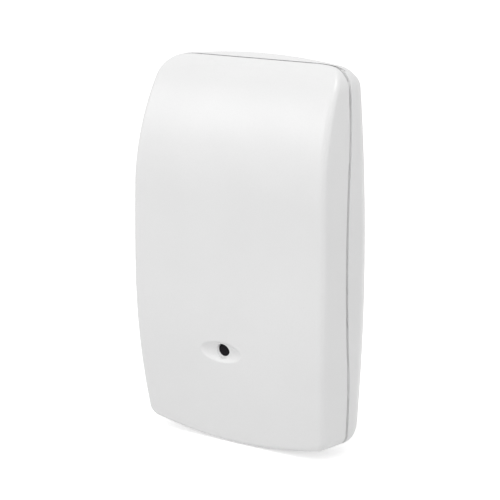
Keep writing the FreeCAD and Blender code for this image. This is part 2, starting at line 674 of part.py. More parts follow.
def shell_form(name, inset, with_back):
    """The housing's outer form, or one drawn in by inset.  with_back draws in the back."""
    body = new_body(name)
    outline = outline_sketch(body, name + "_outline", inset, "widest_ahead")
    form = pad(body, outline, name + "_pad", "depth + margin - widest_ahead")
    form.SideType = "Two sides"
    form.setExpression("TaperAngle", bound("-front_draft"))
    form.setExpression("Length2", bound("widest_ahead"))
    if with_back:
        form.setExpression("TaperAngle2", bound("-atan(back_taper / widest_ahead)"))
    pocket_through(body, front_sketch(body, name + "_front", inset), name + "_front_cut")
    doc.recompute()
    return body


def is_front(face):
    """True for the faces of the side profile, which run level across the housing."""
    u_low, u_high, v_low, v_high = face.ParameterRange
    share = 0.3
    normal = face.normalAt(u_low + share * (u_high - u_low), v_low + share * (v_high - v_low))
    return abs(normal.x) < 1e-6 and normal.y < 0


def bevel_front(body, name):
    """Bevels the edge that runs all round the front: the edges that one front face has."""
    shape = body.Shape
    front = [face for face in shape.Faces if is_front(face)]
    edges = []
    for index, edge in enumerate(shape.Edges, start=1):
        owners = sum(any(edge.isSame(other) for other in face.Edges) for face in front)
        if owners == 1:
            edges.append(f"Edge{index}")
    base = body.Tip
    feature = body.newObject("PartDesign::Chamfer", name)
    feature.Base = (base, edges)
    feature.setExpression("Size", bound("front_bevel"))
    body.Tip = feature
    doc.recompute()


def round_upright(body, name, radius):
    """Rounds the edges that point ahead of the wall."""
    doc.recompute()
    edges = [f"Edge{index}" for index, edge in enumerate(body.Shape.Edges, start=1)
             if abs(edge.tangentAt(edge.FirstParameter).y) > 0.9]
    base = body.Tip
    feature = body.newObject("PartDesign::Fillet", name)
    feature.Base = (base, edges)
    feature.setExpression("Radius", bound(radius))
    body.Tip = feature


def polygon_sketch(body, name, role, lift, points):
    """A closed outline of straight lines; every corner is held by two formulas."""
    sketch = sketch_on(body, name, role, lift)
    count = len(points)
    turn = 2 * math.pi / count
    rough = [(math.cos(turn * step), math.sin(turn * step)) for step in range(count)]
    for step in range(count):
        add_line(sketch, rough[step], rough[(step + 1) % count])
    for step in range(count):
        sketch.addConstraint(Sketcher.Constraint("Coincident", step, END, (step + 1) % count, START))
    for step, (across, up) in enumerate(points):
        dimension(sketch, across, rough[step][0], "DistanceX", *ORIGIN, step, START)
        dimension(sketch, up, rough[step][1], "DistanceY", *ORIGIN, step, START)
    return sketch


def corners(x, z, length, width):
    """Corner formulas of a rectangle centred on x and z."""
    left, right = f"{x} - ({length}) / 2", f"{x} + ({length}) / 2"
    low, high = f"{z} - ({width}) / 2", f"{z} + ({width}) / 2"
    return [(left, low), (right, low), (right, high), (left, high)]


def bar(name, left, right, ahead, z, bore):
    """A cylinder along x, given by its diameter."""
    cylinder = doc.addObject("Part::Cylinder", name)
    cylinder.Placement = Placement(Vector(), Rotation(Vector(0, 1, 0), 90))
    cylinder.setExpression("Radius", bound(f"({bore}) / 2"))
    cylinder.setExpression("Height", bound(f"({right}) - ({left})"))
    cylinder.setExpression("Placement.Base.x", bound(left))
    cylinder.setExpression("Placement.Base.y", bound(f"-({ahead})"))
    cylinder.setExpression("Placement.Base.z", bound(z))
    return cylinder


def oval(name, x, z, length, width, back, front):
    """A level, round-ended bar that points ahead."""
    span = f"(({length}) - ({width}))"
    ends = [rod(name + mark, f"{x} {side} {span} / 2", z, width, back, front)
            for mark, side in (("a", "-"), ("b", "+"))]
    return fuse(name, ends + [slab(name + "m", x, z, span, width, back, front)])


def slotted_screw(name, x, z, head, head_back, head_front, shank, tip, slot, slot_depth):
    """A screw that points at the wall, with a plain slot across its head."""
    solid = fuse(name + "_blank", [rod(name + "_head", x, z, head, head_back, head_front),
                                   rod(name + "_shank", x, z, shank, tip, f"({head_back}) + bite")])
    groove = slab(name + "_groove", x, z, f"({head}) + bite", slot,
                  f"({head_front}) - ({slot_depth})", f"({head_front}) + bite")
    return cut(name, solid, groove)


def chip(label, x, z, quarter_turns, kind, pitch, lead_width):
    """A moulded package with a row of bent leads along each side."""
    body = new_body(label)
    length, width, height, leads = [f"{kind}_{part}" for part in ("length", "width", "height", "leads")]
    outline = corners("0", "0", length, width)
    plate = polygon_sketch(body, label + "_plate", "XZ_Plane", "package_lift", outline)
    package = pad(body, plate, label + "_package", height)
    package.setExpression("TaperAngle", bound(f"-atan(package_slope / {height})"))
    root = f"{width} / 2 - bite"
    knee = f"{width} / 2 + lead_reach - lead_foot"
    toe = f"{width} / 2 + lead_reach"
    bends = [("0", toe), ("0", knee), ("-lead_height", root), ("-lead_height - lead_thick", root),
             ("-lead_thick", f"{knee} + lead_thick"), ("-lead_thick", toe)]
    first = f"-{pitch} * ({leads} - 1) / 2 - {lead_width} / 2"
    for side, sign in (("upper", "1"), ("lower", "-1")):
        profile = polygon_sketch(body, f"{label}_{side}_lead", "YZ_Plane", first,
                                 [(across, f"{sign} * ({up})") for across, up in bends])
        lead = pad(body, profile, f"{label}_{side}_pad", lead_width)
        row = body.newObject("PartDesign::LinearPattern", f"{label}_{side}_row")
        row.Originals = [lead]
        row.Direction = (profile, ["N_Axis"])
        row.setExpression("Length", bound(f"{pitch} * ({leads} - 1)"))
        row.setExpression("Occurrences", bound(leads))
        body.Tip = row
    body.Placement = Placement(Vector(), Rotation(Vector(0, 1, 0), 90 * quarter_turns))
    body.setExpression("Placement.Base.x", bound(x))
    body.setExpression("Placement.Base.y", bound("-board_front"))
    body.setExpression("Placement.Base.z", bound(z))
    return node(body, label)


def make_front_cover():
    body = shell_form("cover_form", "", False)
    bevel_front(body, "cover_bevel")
    combine(body, "cover_hollow", "Cut", [shell_form("cover_inside", "wall", False)])
    behind = seam_sketch(body, "cover_seam", ("seam_gap / 2", number("seam_gap") / 2), False)
    pocket_through(body, behind, "cover_rim_cut")
    collar = rod("felt_collar", "mic_x", "mic_z", "felt_bore + 2 * (felt_clear + collar_wall)",
                 "collar_back", "felt_front + collar_bite")
    post = rod("tamper_post", "tamper_x", "tamper_z", "post_bore", "post_tip", "depth - wall + post_root")
    tilt = "asin((chin_z - mic_z) / chin_radius)"
    dish = doc.addObject("Part::Ellipsoid", "port_dish")
    dish.Placement = Placement(Vector(), Rotation(Vector(1, 0, 0), 1))
    dish.setExpression("Radius1", bound("dish_height / 2 / dish_spread"))
    dish.setExpression("Radius2", bound("dish_width / 2 / dish_spread"))
    dish.setExpression("Radius3", bound("dish_reach"))
    dish.setExpression("Placement.Rotation.Angle", bound(tilt))
    dish.setExpression("Placement.Base.x", bound("mic_x"))
    dish.setExpression("Placement.Base.y", bound(f"-mic_front - dish_crown * cos({tilt})"))
    dish.setExpression("Placement.Base.z", bound(f"mic_z - dish_crown * sin({tilt})"))
    tools = [
        dish,
        rod("port", "mic_x", "mic_z", "port_bore", "felt_back", "depth"),
        rod("felt_seat", "mic_x", "mic_z", "felt_bore + 2 * felt_clear", "collar_back - bite", "felt_front"),
        block("pry_notch", "-pry_width / 2", "pry_width / 2", "cover_rim - margin", "cover_rim + pry_depth",
              "-half_height - margin", "wall - half_height"),
    ]
    slot_width = "hook_width / 2 + hook_side_clear"
    for side, sign in (("left", "-1"), ("right", "1")):
        left = f"{sign} * hook_x - ({slot_width})"
        right = f"{sign} * hook_x + ({slot_width})"
        bore = "2 * (hook_radius + hook_clear)"
        tools.append(bar(f"hook_pocket_{side}", left, right, "pivot_ahead", "pivot_z", bore))
        tools.append(block(f"hook_mouth_{side}", left, right, f"pivot_ahead - ({bore}) / 2",
                           f"pivot_ahead + ({bore}) / 2", "pivot_z - hook_crook - hook_arm", "pivot_z"))
    solid = fuse("cover_solid", [body, collar, post])
    return node(cut("cover_finished", solid, fuse("cover_tools", tools)), "front_cover")


def make_rear_base():
    body = shell_form("base_form", "", True)
    ahead = seam_sketch(body, "base_seam", ("-seam_gap / 2", -number("seam_gap") / 2), True)
    pocket_through(body, ahead, "base_rim_cut")
    tongue = shell_form("tongue_form", "tongue_inset", True)
    tip = seam_sketch(tongue, "tongue_tip", ("tongue_reach", number("tongue_reach")), True)
    pocket_through(tongue, tip, "tongue_tip_cut")
    open_top = block("tongue_opening", "-half_width", "half_width", "base_rim", "depth",
                     "tongue_top_z", "half_height")
    cavity = new_body("base_cavity")
    inside = outline_sketch(cavity, "cavity_outline", "cavity_inset", "base_floor")
    pad(cavity, inside, "cavity_pad", "depth").setExpression("TaperAngle", bound("-front_draft"))
    tray = cut("tray", fuse("tray_blank", [body, cut("tongue_ring", tongue, open_top)]), cavity)
    added = [tray]
    tools = []
    for side, sign in (("left", "-1"), ("right", "1")):
        x = f"{sign} * standoff_x"
        for level in ("high", "low"):
            name = f"{level}_{side}"
            added.append(rod("standoff_" + name, x, "standoff_" + level, "standoff_bore",
                             "base_floor - bite", "board_back"))
            if (level == "high") == (side == "left"):
                tools.append(rod("pilot_" + name, x, "standoff_" + level, "screw_shank + 2 * screw_fit",
                                 "board_front - screw_length - bite", "board_back + bite"))
            else:
                added.append(rod("pin_" + name, x, "standoff_" + level, "pin_bore",
                                 "board_back - bite", "board_front + pin_proud"))
            fixing = f"{sign} * fixing_x"
            added.append(slab("fixing_pad_" + name, fixing, "fixing_" + level,
                              "fixing_slot + 2 * fixing_pad", "fixing_bore + 2 * fixing_pad",
                              "base_floor - bite", "base_floor + fixing_pad_height"))
            tools.append(oval("fixing_slot_" + name, fixing, "fixing_" + level, "fixing_slot",
                              "fixing_bore", "-bite", "base_floor + fixing_pad_height + bite"))
        lug_left = f"{sign} * hook_x - hook_width / 2"
        lug_right = f"{sign} * hook_x + hook_width / 2"
        added.append(block(f"lug_arm_{side}", lug_left, lug_right, "base_floor - bite",
                           "pivot_ahead + hook_neck / 2", "pivot_z - hook_crook - hook_arm",
                           "pivot_z - hook_crook"))
        added.append(block(f"lug_neck_{side}", lug_left, lug_right, "pivot_ahead - hook_neck / 2",
                           "pivot_ahead + hook_neck / 2", "pivot_z - hook_crook - bite", "pivot_z"))
        added.append(bar(f"lug_nose_{side}", lug_left, lug_right, "pivot_ahead", "pivot_z",
                         "2 * hook_radius"))
        added.append(slab(f"floor_rib_{side}", f"{sign} * rib_x", "board_z", "rib_thick", "board_height",
                          "base_floor - bite", "base_floor + rib_height"))
        added.append(bar(f"grip_{side}", f"{sign} * grip_x - grip_length / 2",
                         f"{sign} * grip_x + grip_length / 2", "seam_end + tongue_reach - 2 * grip_radius",
                         "bottom_radius - half_height - sqrt(grip_orbit^2 - grip_x^2)",
                         "2 * grip_radius"))
    tools.append(oval("cable_entry", "0", "entry_z", "entry_width", "entry_height", "-bite",
                      "base_floor + bite"))
    solid = fuse("base_solid", added)
    return node(cut("base_finished", solid, fuse("base_tools", tools)), "rear_base")


def make_circuit_board():
    body = new_body("board_blank")
    outline = polygon_sketch(body, "board_outline", "XZ_Plane", "board_back",
                             corners("0", "board_z", "2 * board_half", "board_height"))
    pad(body, outline, "board_pad", "board_thick")
    round_upright(body, "board_corners", "board_corner")
    holes = []
    for side, sign in (("left", "-1"), ("right", "1")):
        for level in ("high", "low"):
            holes.append(rod(f"board_hole_{level}_{side}", f"{sign} * standoff_x", "standoff_" + level,
                             "pin_bore + 2 * pin_clear", "board_back - bite", "board_front + bite"))
    return node(cut("board_drilled", body, group("board_holes", holes)), "circuit_board")


def make_board_screws():
    screws = []
    for name, sign, level in (("left", "-1", "high"), ("right", "1", "low")):
        screws.append(slotted_screw("board_screw_" + name, f"{sign} * standoff_x", "standoff_" + level,
                                    "screw_head", "board_front", "board_front + screw_head_height",
                                    "screw_shank", "board_front - screw_length", "screw_slot",
                                    "screw_slot_depth"))
    return node(group("board_screw_set", screws), "board_screws")


def make_terminals():
    """Two screw terminal blocks, their clamps and their screws."""
    clamps = []
    screws = []
    throat_back = "board_front + terminal_sill"
    throat_front = "board_front + terminal_sill + terminal_throat_height"
    throat_top = "terminal_z + terminal_depth - terminal_back"
    for side, sign in (("left", "-1"), ("right", "1")):
        middle = f"{sign} * terminal_x"
        body = new_body(f"terminal_body_{side}")
        low, high = "terminal_z", "terminal_z + terminal_depth"
        shoulder = "terminal_front - terminal_chamfer"
        profile = polygon_sketch(body, f"terminal_profile_{side}", "YZ_Plane",
                                 f"{middle} - terminal_length / 2",
                                 [("-board_front", low), ("-board_front", high), (f"-({shoulder})", high),
                                  ("-terminal_front", f"{high} - terminal_chamfer"),
                                  ("-terminal_front", f"{low} + terminal_chamfer / 2"),
                                  ("-terminal_front + terminal_chamfer / 2", low)])
        pad(body, profile, f"terminal_pad_{side}", "terminal_length")
        tools = []
        for way in range(int(number("terminal_ways"))):
            name = f"{side}_{way + 1}"
            x = f"{middle} + terminal_pitch * ({way} - (terminal_ways - 1) / 2)"
            well_z = "terminal_z + (terminal_depth - terminal_back + clamp_inset) / 2"
            tools.append(block("throat_" + name, f"{x} - terminal_throat / 2", f"{x} + terminal_throat / 2",
                               throat_back, throat_front, "terminal_z - bite", throat_top))
            tools.append(rod("well_" + name, x, well_z, "terminal_well", f"{throat_front} - bite",
                             "terminal_front + bite"))
            frame = block("clamp_frame_" + name, f"{x} - terminal_throat / 2 + clamp_clear",
                          f"{x} + terminal_throat / 2 - clamp_clear", throat_back,
                          f"{throat_front} - clamp_clear", "terminal_z + clamp_inset",
                          f"{throat_top} - clamp_clear")
            window = block("clamp_window_" + name, f"{x} - terminal_throat / 2 + clamp_clear + clamp_wall",
                           f"{x} + terminal_throat / 2 - clamp_clear - clamp_wall",
                           f"{throat_back} + clamp_wall", f"{throat_front} - clamp_clear - clamp_wall",
                           "terminal_z", throat_top)
            clamps.append(cut("clamp_" + name, frame, window))
            screw_back = f"{throat_front} - clamp_clear"
            screw_front = "terminal_front - terminal_recess"
            head = rod("terminal_head_" + name, x, well_z, "terminal_screw_bore", screw_back, screw_front)
            groove = slab("terminal_groove_" + name, x, well_z, "terminal_well", "screw_slot * 0.7",
                          f"{screw_front} - screw_slot_depth", f"{screw_front} + bite")
            screws.append(cut("terminal_screw_" + name, head, groove))
        finished = cut(f"terminal_cut_{side}", body, fuse(f"terminal_tools_{side}", tools))
        node(finished, f"terminal_block_{side}")
    node(group("clamp_set", clamps), "terminal_clamps")
    node(group("terminal_screw_set", screws), "terminal_screws")


def make_tamper_switch():
    case = slab("tamper_case", "tamper_x", "tamper_z", "tamper_side", "tamper_side", "board_front",
                "board_front + tamper_height")
    collar = rod("tamper_ring", "tamper_x", "tamper_z", "tamper_collar", "board_front", "tamper_face")
    well = rod("tamper_well", "tamper_x", "tamper_z", "plunger_bore + 2 * plunger_fit",
               "tamper_face - plunger_seat", "tamper_face + bite")
    node(cut("tamper_switch_cut", fuse("tamper_blank", [case, collar]), well), "tamper_switch")
    stem = rod("plunger_stem", "tamper_x", "tamper_z", "plunger_bore", "tamper_face - plunger_seat",
               "plunger_tip")
    node(stem, "tamper_plunger")


def make_range_switch():
    case = slab("dip_case", "dip_x", "dip_z", "dip_length", "dip_height", "board_front", "dip_face")
    windows = []
    for way in range(int(number("dip_ways"))):
        x = f"dip_x + dip_pitch * ({way} - (dip_ways - 1) / 2)"
        windows.append(slab(f"dip_window_{way + 1}", x, "dip_z", "dip_window_width", "dip_window",
                            "dip_face - dip_window_depth", "dip_face + bite"))
        slider = block(f"slider_{way + 1}", f"{x} - slider_side / 2", f"{x} + slider_side / 2",
                       "slider_back", "dip_face + slider_proud", "slider_z", "slider_z + slider_length")
        node(slider, f"range_slider_{way + 1}")
    node(cut("dip_switch_cut", case, group("dip_windows", windows)), "range_switch")


def make_microphone():
    sleeve = rod("boot_sleeve", "mic_x", "mic_z", "boot_outer", "board_front", "boot_front")
    hollow = rod("boot_hollow", "mic_x", "mic_z", "boot_bore", "board_front - bite", "boot_front + bite")
    node(cut("boot_cut", sleeve, hollow), "microphone_boot")
    can = rod("capsule_can", "mic_x", "mic_z", "capsule_bore", "board_front", "capsule_front")
    port = rod("capsule_opening", "mic_x", "mic_z", "capsule_port", "capsule_front - capsule_face",
               "capsule_front + bite")
    node(cut("capsule_cut", can, port), "microphone_capsule")
    node(rod("felt_disc", "mic_x", "mic_z", "felt_bore", "felt_back", "felt_front"), "microphone_felt")


def make_relay():
    body = new_body("alarm_relay")
    outline = polygon_sketch(body, "relay_outline", "XZ_Plane", "board_front",
                             corners("relay_x", "board_z + relay_up", "relay_length", "relay_width"))
    pad(body, outline, "relay_pad", "relay_height")
    round_upright(body, "relay_edges", "relay_round")
    return node(body, "alarm_relay")


def make_capacitors():
    cans = []
    for place in range(2):
        z = f"board_z - can_down + can_pitch * {place}"
        body = new_body(f"can_base_{place + 1}")
        half = "can_base / 2"
        points = [(f"can_x - {half}", f"{z} - {half}"), (f"can_x + {half}", f"{z} - {half}"),
                  (f"can_x + {half}", f"{z} + {half} - can_base_cut"),
                  (f"can_x + {half} - can_base_cut", f"{z} + {half}"),
                  (f"can_x - {half} + can_base_cut", f"{z} + {half}"),
                  (f"can_x - {half}", f"{z} + {half} - can_base_cut")]
        sketch = polygon_sketch(body, f"can_base_sketch_{place + 1}", "XZ_Plane", "board_front", points)
        pad(body, sketch, f"can_base_pad_{place + 1}", "can_base_height")
        can = rod(f"can_{place + 1}", "can_x", z, "can_bore", "board_front",
                  "board_front + can_base_height + can_height")
        cans.append(fuse(f"capacitor_{place + 1}", [body, can]))
    return node(group("can_set", cans), "filter_capacitors")


def make_inductor():
    body = new_body("inductor_frame")
    x, z, half = "coil_x", "board_z - coil_down", "coil_side / 2"
    points = []
    for across, up, first in (("+", "-", "x"), ("+", "+", "z"), ("-", "+", "x"), ("-", "-", "z")):
        cut_x = (f"{x} {across} ({half} - coil_cut)", f"{z} {up} {half}")
        cut_z = (f"{x} {across} {half}", f"{z} {up} ({half} - coil_cut)")
        points += [cut_x, cut_z] if first == "x" else [cut_z, cut_x]
    sketch = polygon_sketch(body, "inductor_outline", "XZ_Plane", "board_front", points)
    pad(body, sketch, "inductor_pad", "coil_height")
    core = rod("inductor_core", x, z, "coil_bore", "board_front", "board_front + coil_height + coil_core")
    return node(fuse("inductor", [body, core]), "power_inductor")


def make_crystal():
    z = "board_z + crystal_up"
    flange = oval("crystal_foot", "0", z, "crystal_length + 2 * crystal_flange",
                  "crystal_width + 2 * crystal_flange", "board_front",
                  "board_front + crystal_flange_height")
    can = oval("crystal_can", "0", z, "crystal_length", "crystal_width", "board_front",
               "board_front + crystal_flange_height + crystal_height")
    return node(fuse("crystal_solid", [flange, can]), "timing_crystal")


def make_diodes():
    diodes = []
    z = "mic_z + diode_rise"
    for side, sign in (("left", "-1"), ("right", "1")):
        x = f"{sign} * (board_half - diode_edge)"
        package = wedge("diode_package_" + side, x, z, "diode_length", "diode_width", "board_front",
                        "board_front + diode_height", "package_slope")
        tabs = slab("diode_tabs_" + side, x, z, "diode_length + 2 * diode_tab", "diode_tab_width",
                    "board_front", "board_front + lead_thick")
        diodes.append(fuse("diode_" + side, [package, tabs]))
    return node(group("diode_set", diodes), "surge_diodes")


def make_lamps():
    for place, label in enumerate(("alarm_lamp", "trouble_lamp")):
        x = f"led_x + led_pitch * {place}"
        z = "board_z + led_up"
        base = slab(label + "_base", x, z, "led_length", "led_width", "board_front",
                    "board_front + led_base")
        lens = wedge(label + "_lens", x, z, "led_length - 2 * led_margin", "led_width", "board_front",
                     "board_front + led_base + led_lens", "led_slope")
        node(fuse(label + "_solid", [base, lens]), label)


def make_jumper():
    z = "board_z + header_up"
    strip = slab("header_strip", "header_x", z, "2 * header_pitch", "header_pitch", "board_front",
                 "board_front + header_height")
    pins = []
    sockets = []
    for place, side in (("a", "-"), ("b", "+")):
        x = f"header_x {side} header_pitch / 2"
        pins.append(slab("header_pin_" + place, x, z, "header_pin", "header_pin", "board_front",
                         "board_front + header_pin_height"))
        sockets.append(slab("cap_socket_" + place, x, z, "header_pin + 2 * cap_fit",
                            "header_pin + 2 * cap_fit", "board_front + header_height - bite",
                            "board_front + header_height + cap_height - cap_roof"))
    node(fuse("header_solid", [strip] + pins), "jumper_header")
    shell = slab("cap_shell", "header_x", z, "header_pitch + header_pin + 2 * cap_wall",
                 "header_pin + 2 * cap_wall", "board_front + header_height",
                 "board_front + header_height + cap_height")
    node(cut("cap_cut", shell, group("cap_sockets", sockets)), "jumper_cap")


def make_chips():
    chip("microcontroller", "0", "board_z + controller_up", 0, "controller", "chip_pitch",
         "chip_lead_width")
    chip("amplifier_chip", "0", "mic_z + amplifier_rise", 1, "amplifier", "chip_pitch",
         "chip_lead_width")
    chip("voltage_regulator", "regulator_x", "board_z + regulator_up", 0, "regulator", "regulator_pitch",
         "regulator_lead_width")
    resistors = []
    for row in range(2):
        for place in range(int(number("resistor_count"))):
            x = f"board_half - resistor_edge - resistor_pitch * {place}"
            resistors.append(slab(f"resistor_{row}_{place}", x,
                                  f"board_z + resistor_up + resistor_row * {row}", "resistor_length",
                                  "resistor_width", "board_front", "board_front + resistor_height"))
    node(group("resistor_set", resistors), "chip_resistors")
    ceramics = []
    for place in range(int(number("ceramic_count"))):
        x = f"ceramic_pitch * ({place} - (ceramic_count - 1) / 2)"
        ceramics.append(slab(f"ceramic_{place}", x, "mic_z + ceramic_rise", "resistor_width",
                             "resistor_length", "board_front", "board_front + ceramic_height"))
    node(group("ceramic_set", ceramics), "chip_capacitors")


make_front_cover()
make_rear_base()
make_circuit_board()
make_board_screws()
make_terminals()
make_tamper_switch()
make_range_switch()
make_microphone()
make_chips()
make_relay()
make_capacitors()
make_inductor()
make_crystal()
make_diodes()
make_lamps()
make_jumper()
doc.recompute()

for item in doc.Objects:
    if "Invalid" in item.State or "Error" in item.State:
        raise RuntimeError(f"{item.Label} failed: {item.State}")
for item in NODES:
    if item.Shape.isNull() or not item.Shape.isValid():
        raise RuntimeError(f"{item.Label} has no valid shape")

os.makedirs("parts", exist_ok=True)
for item in NODES:
    item.Shape.exportStep(os.path.join("parts", item.Label + ".step"))
    print(item.Label, len(item.Shape.Solids), round(item.Shape.Volume, 2))
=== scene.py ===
import math

import bmesh
import bpy
import numpy as np
from mathutils import Matrix, Vector
from mathutils.geometry import delaunay_2d_cdt


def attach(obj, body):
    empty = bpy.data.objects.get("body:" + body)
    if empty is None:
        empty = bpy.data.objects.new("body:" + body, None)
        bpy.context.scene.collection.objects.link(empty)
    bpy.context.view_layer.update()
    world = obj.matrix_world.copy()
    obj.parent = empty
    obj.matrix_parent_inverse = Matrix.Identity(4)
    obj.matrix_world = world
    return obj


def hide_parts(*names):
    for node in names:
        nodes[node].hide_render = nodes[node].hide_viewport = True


# Wall-mounted glass break sensor. Sizes in the dictionaries are millimetres, as in the
# part; "ahead" is the distance in front of the wall, which is -Y. Meshes are in metres.

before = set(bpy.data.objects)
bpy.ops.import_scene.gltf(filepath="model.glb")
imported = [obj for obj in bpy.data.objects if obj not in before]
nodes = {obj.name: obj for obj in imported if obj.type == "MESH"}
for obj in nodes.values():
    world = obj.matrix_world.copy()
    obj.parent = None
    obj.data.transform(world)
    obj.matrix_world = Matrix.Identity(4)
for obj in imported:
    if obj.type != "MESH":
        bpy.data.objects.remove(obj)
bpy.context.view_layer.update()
mm = 0.001
print("frame loaded:", len(nodes), "nodes")


def linear(colour):
    parts = [int(colour[i:i + 2], 16) / 255 for i in (0, 2, 4)]
    return [p / 12.92 if p <= 0.04045 else ((p + 0.055) / 1.055) ** 2.4 for p in parts] + [1.0]


def addNode(tree, kind, inputs=None, **settings):
    node = tree.nodes.new(kind)
    for key, value in settings.items():
        setattr(node, key, value)
    for key, value in (inputs or {}).items():
        if isinstance(value, bpy.types.NodeSocket):
            tree.links.new(value, node.inputs[key])
        else:
            node.inputs[key].default_value = value
    return node


def calc(tree, operation, *values):
    return addNode(tree, "ShaderNodeMath", dict(enumerate(values)), operation=operation).outputs[0]


def point(x, ahead, z):
    return (x * mm, -ahead * mm, z * mm)


def linked(name, data):
    thing = bpy.data.objects.new(name, data)
    bpy.context.scene.collection.objects.link(thing)
    return thing


def meshObject(name, points, faces):
    mesh = bpy.data.meshes.new(name)
    mesh.from_pydata([tuple(p) for p in points], [], [tuple(f) for f in faces])
    mesh.validate()
    return linked(name, mesh)


def closed(shape):
    # faces outward; an open edge would be reported, because the cutting needs closed meshes
    work = bmesh.new()
    work.from_mesh(shape.data)
    bmesh.ops.recalc_face_normals(work, faces=work.faces[:])
    loose = [e for e in work.edges if len(e.link_faces) != 2]
    work.to_mesh(shape.data)
    work.free()
    if loose:
        print(shape.name, "has", len(loose), "open edges")
    return shape


def ringMesh(name, rings):
    # a solid through rings of points, each joined to the next, with both ends closed
    count = len(rings[0])
    last = count * (len(rings) - 1)
    faces = []
    for row in range(0, last, count):
        for k in range(count):
            j = (k + 1) % count
            faces.append((row + k, row + j, row + count + j, row + count + k))
    faces += [list(range(count)), list(range(last, last + count))]
    return closed(meshObject(name, [spot for ring in rings for spot in ring], faces))


def baked(shape):
    # the shape as its modifiers leave it
    depsgraph = bpy.context.evaluated_depsgraph_get()
    result = bpy.data.meshes.new_from_object(shape.evaluated_get(depsgraph))
    shape.modifiers.clear()
    shape.data = result
    return shape


sharpOver = {"shell": 17, "crisp": 30, "round": 40, "soft": 50}  # degrees between two faces


def smooth(shape, kind):
    shape.data.shade_smooth()
    shape.data.set_sharp_from_angle(angle=math.radians(sharpOver[kind]))
    return shape


def weigh(shape):
    # large flat faces keep flat shading next to small rounded ones
    shape.modifiers.new("weights", "WEIGHTED_NORMAL").keep_sharp = True
    return baked(shape)


# camera: the photograph's own angle, from the right and a little above
shot = {"azimuth": 38.676, "elevation": 11.465, "aimAhead": 10.0, "distance": 505.92,
        "lens": 145.06, "sensor": 36.0, "near": 0.01, "far": 20.0}  # near and far in metres


def makeCamera():
    turn, rise = math.radians(shot["azimuth"]), math.radians(shot["elevation"])
    level = math.cos(rise)
    back = Vector((math.sin(turn) * level, -math.cos(turn) * level, math.sin(rise)))
    data = bpy.data.cameras.new("camera")
    data.lens = shot["lens"]
    data.sensor_width = shot["sensor"]
    data.clip_start = shot["near"]
    data.clip_end = shot["far"]
    camera = linked("camera", data)
    camera.location = Vector((0.0, -shot["aimAhead"], 0.0)) * mm + back * shot["distance"] * mm
    camera.rotation_euler = (-back).to_track_quat("-Z", "Y").to_euler()
    bpy.context.scene.camera = camera
    print("camera set")


makeCamera()

# studio: pale floor, white surround, soft lamps
studio = {
    "floor": "E4E4E4", "floorGlow": 0.60, "fill": 0.58,
    "floorZ": -49.3, "floorReach": 6.0,  # reach in metres
    "lamps": [  # name, place in metres, size in metres, watts
        ("topLamp", (0.15, -0.50, 1.25), 0.7, 6.8),
        ("crownLamp", (-0.86, -0.94, 0.58), 0.35, 2.1),  # band of light along the rolled top
        ("leftLamp", (-1.00, -0.90, 0.30), 0.8, 0.6),
        ("rightLamp", (1.25, -0.25, 0.30), 0.8, 1.3),
        ("cornerLamp", (0.80, -0.55, 1.00), 0.4, 1.2),
    ],
}


def seenShare(tree):
    # 1 where the camera, a reflection or a refraction looks, 0 for the light on the object
    rays = addNode(tree, "ShaderNodeLightPath").outputs
    seen = calc(tree, "MAXIMUM", rays["Is Camera Ray"], rays["Is Glossy Ray"])
    return calc(tree, "MAXIMUM", seen, rays["Is Transmission Ray"])


def makeFloor():
    low, reach = studio["floorZ"] * mm, studio["floorReach"]
    corners = [(-reach, -reach), (reach, -reach), (reach, reach), (-reach, reach)]
    floor = meshObject("floor", [(x, y, low) for x, y in corners], [(0, 1, 2, 3)])
    material = bpy.data.materials.new("paper sweep, matt")
    material.use_nodes = True
    tree = material.node_tree
    tree.nodes.clear()
    glow = calc(tree, "MULTIPLY", seenShare(tree), studio["floorGlow"])
    lit = addNode(tree, "ShaderNodeBsdfDiffuse", {"Color": linear(studio["floor"])})
    shine = addNode(tree, "ShaderNodeEmission", {"Strength": glow})
    both = addNode(tree, "ShaderNodeAddShader", {0: lit.outputs[0], 1: shine.outputs[0]})
    addNode(tree, "ShaderNodeOutputMaterial", {"Surface": both.outputs[0]})
    floor.data.materials.append(material)


def makeWorld():
    world = bpy.data.worlds.new("studio")
    bpy.context.scene.world = world
    world.use_nodes = True
    tree = world.node_tree
    tree.nodes.clear()
    strength = addNode(tree, "ShaderNodeMapRange", {
        "Value": seenShare(tree), "To Min": studio["fill"], "To Max": 1.0}).outputs[0]
    sky = addNode(tree, "ShaderNodeBackground", {"Color": (1, 1, 1, 1), "Strength": strength})
    addNode(tree, "ShaderNodeOutputWorld", {"Surface": sky.outputs[0]})


def makeLamps():
    for name, place, size, watts in studio["lamps"]:
        data = bpy.data.lights.new(name, "AREA")
        data.shape = "DISK"
        data.size = size
        data.energy = watts
        lamp = linked(name, data)
        lamp.location = place
        lamp.rotation_euler = (-Vector(place)).to_track_quat("-Z", "Y").to_euler()


makeFloor()
makeWorld()
makeLamps()
bpy.context.scene.view_settings.view_transform = "Standard"
print("studio set")

# housing form: the same sizes as the part's sheet
form = {
    "halfWidth": 30.7, "halfHeight": 49.3, "depth": 20.1,
    "sideBow": 2.5, "topBow": 2.6, "bottomBow": 3.9, "topCorner": 6.1, "bottomCorner": 3.4,
    "widestAhead": 4.5, "backTaper": 2.4, "draft": 0.7, "waistRound": 8.0,
    "crownRadius": 59.8, "crownZ": 14.5, "crestRadius": 18.0, "crestRise": 1.98,
    "chinRadius": 205.7, "chinZ": -7.95, "edgeRound": 1.55,
    "seamMid": 10.55, "seamEnd": 7.43, "seamGap": 0.95, "rimRound": 0.18, "backRound": 0.35,
    "rimFace": 1.75,  # seam face that is drawn before the CAD's own takes over
    "backLift": 0.004,  # keeps the drawn back clear of the CAD's own back plane
}
arcSteps = {"side": 84, "top": 44, "bottom": 46, "topCorner": 18, "bottomCorner": 14}

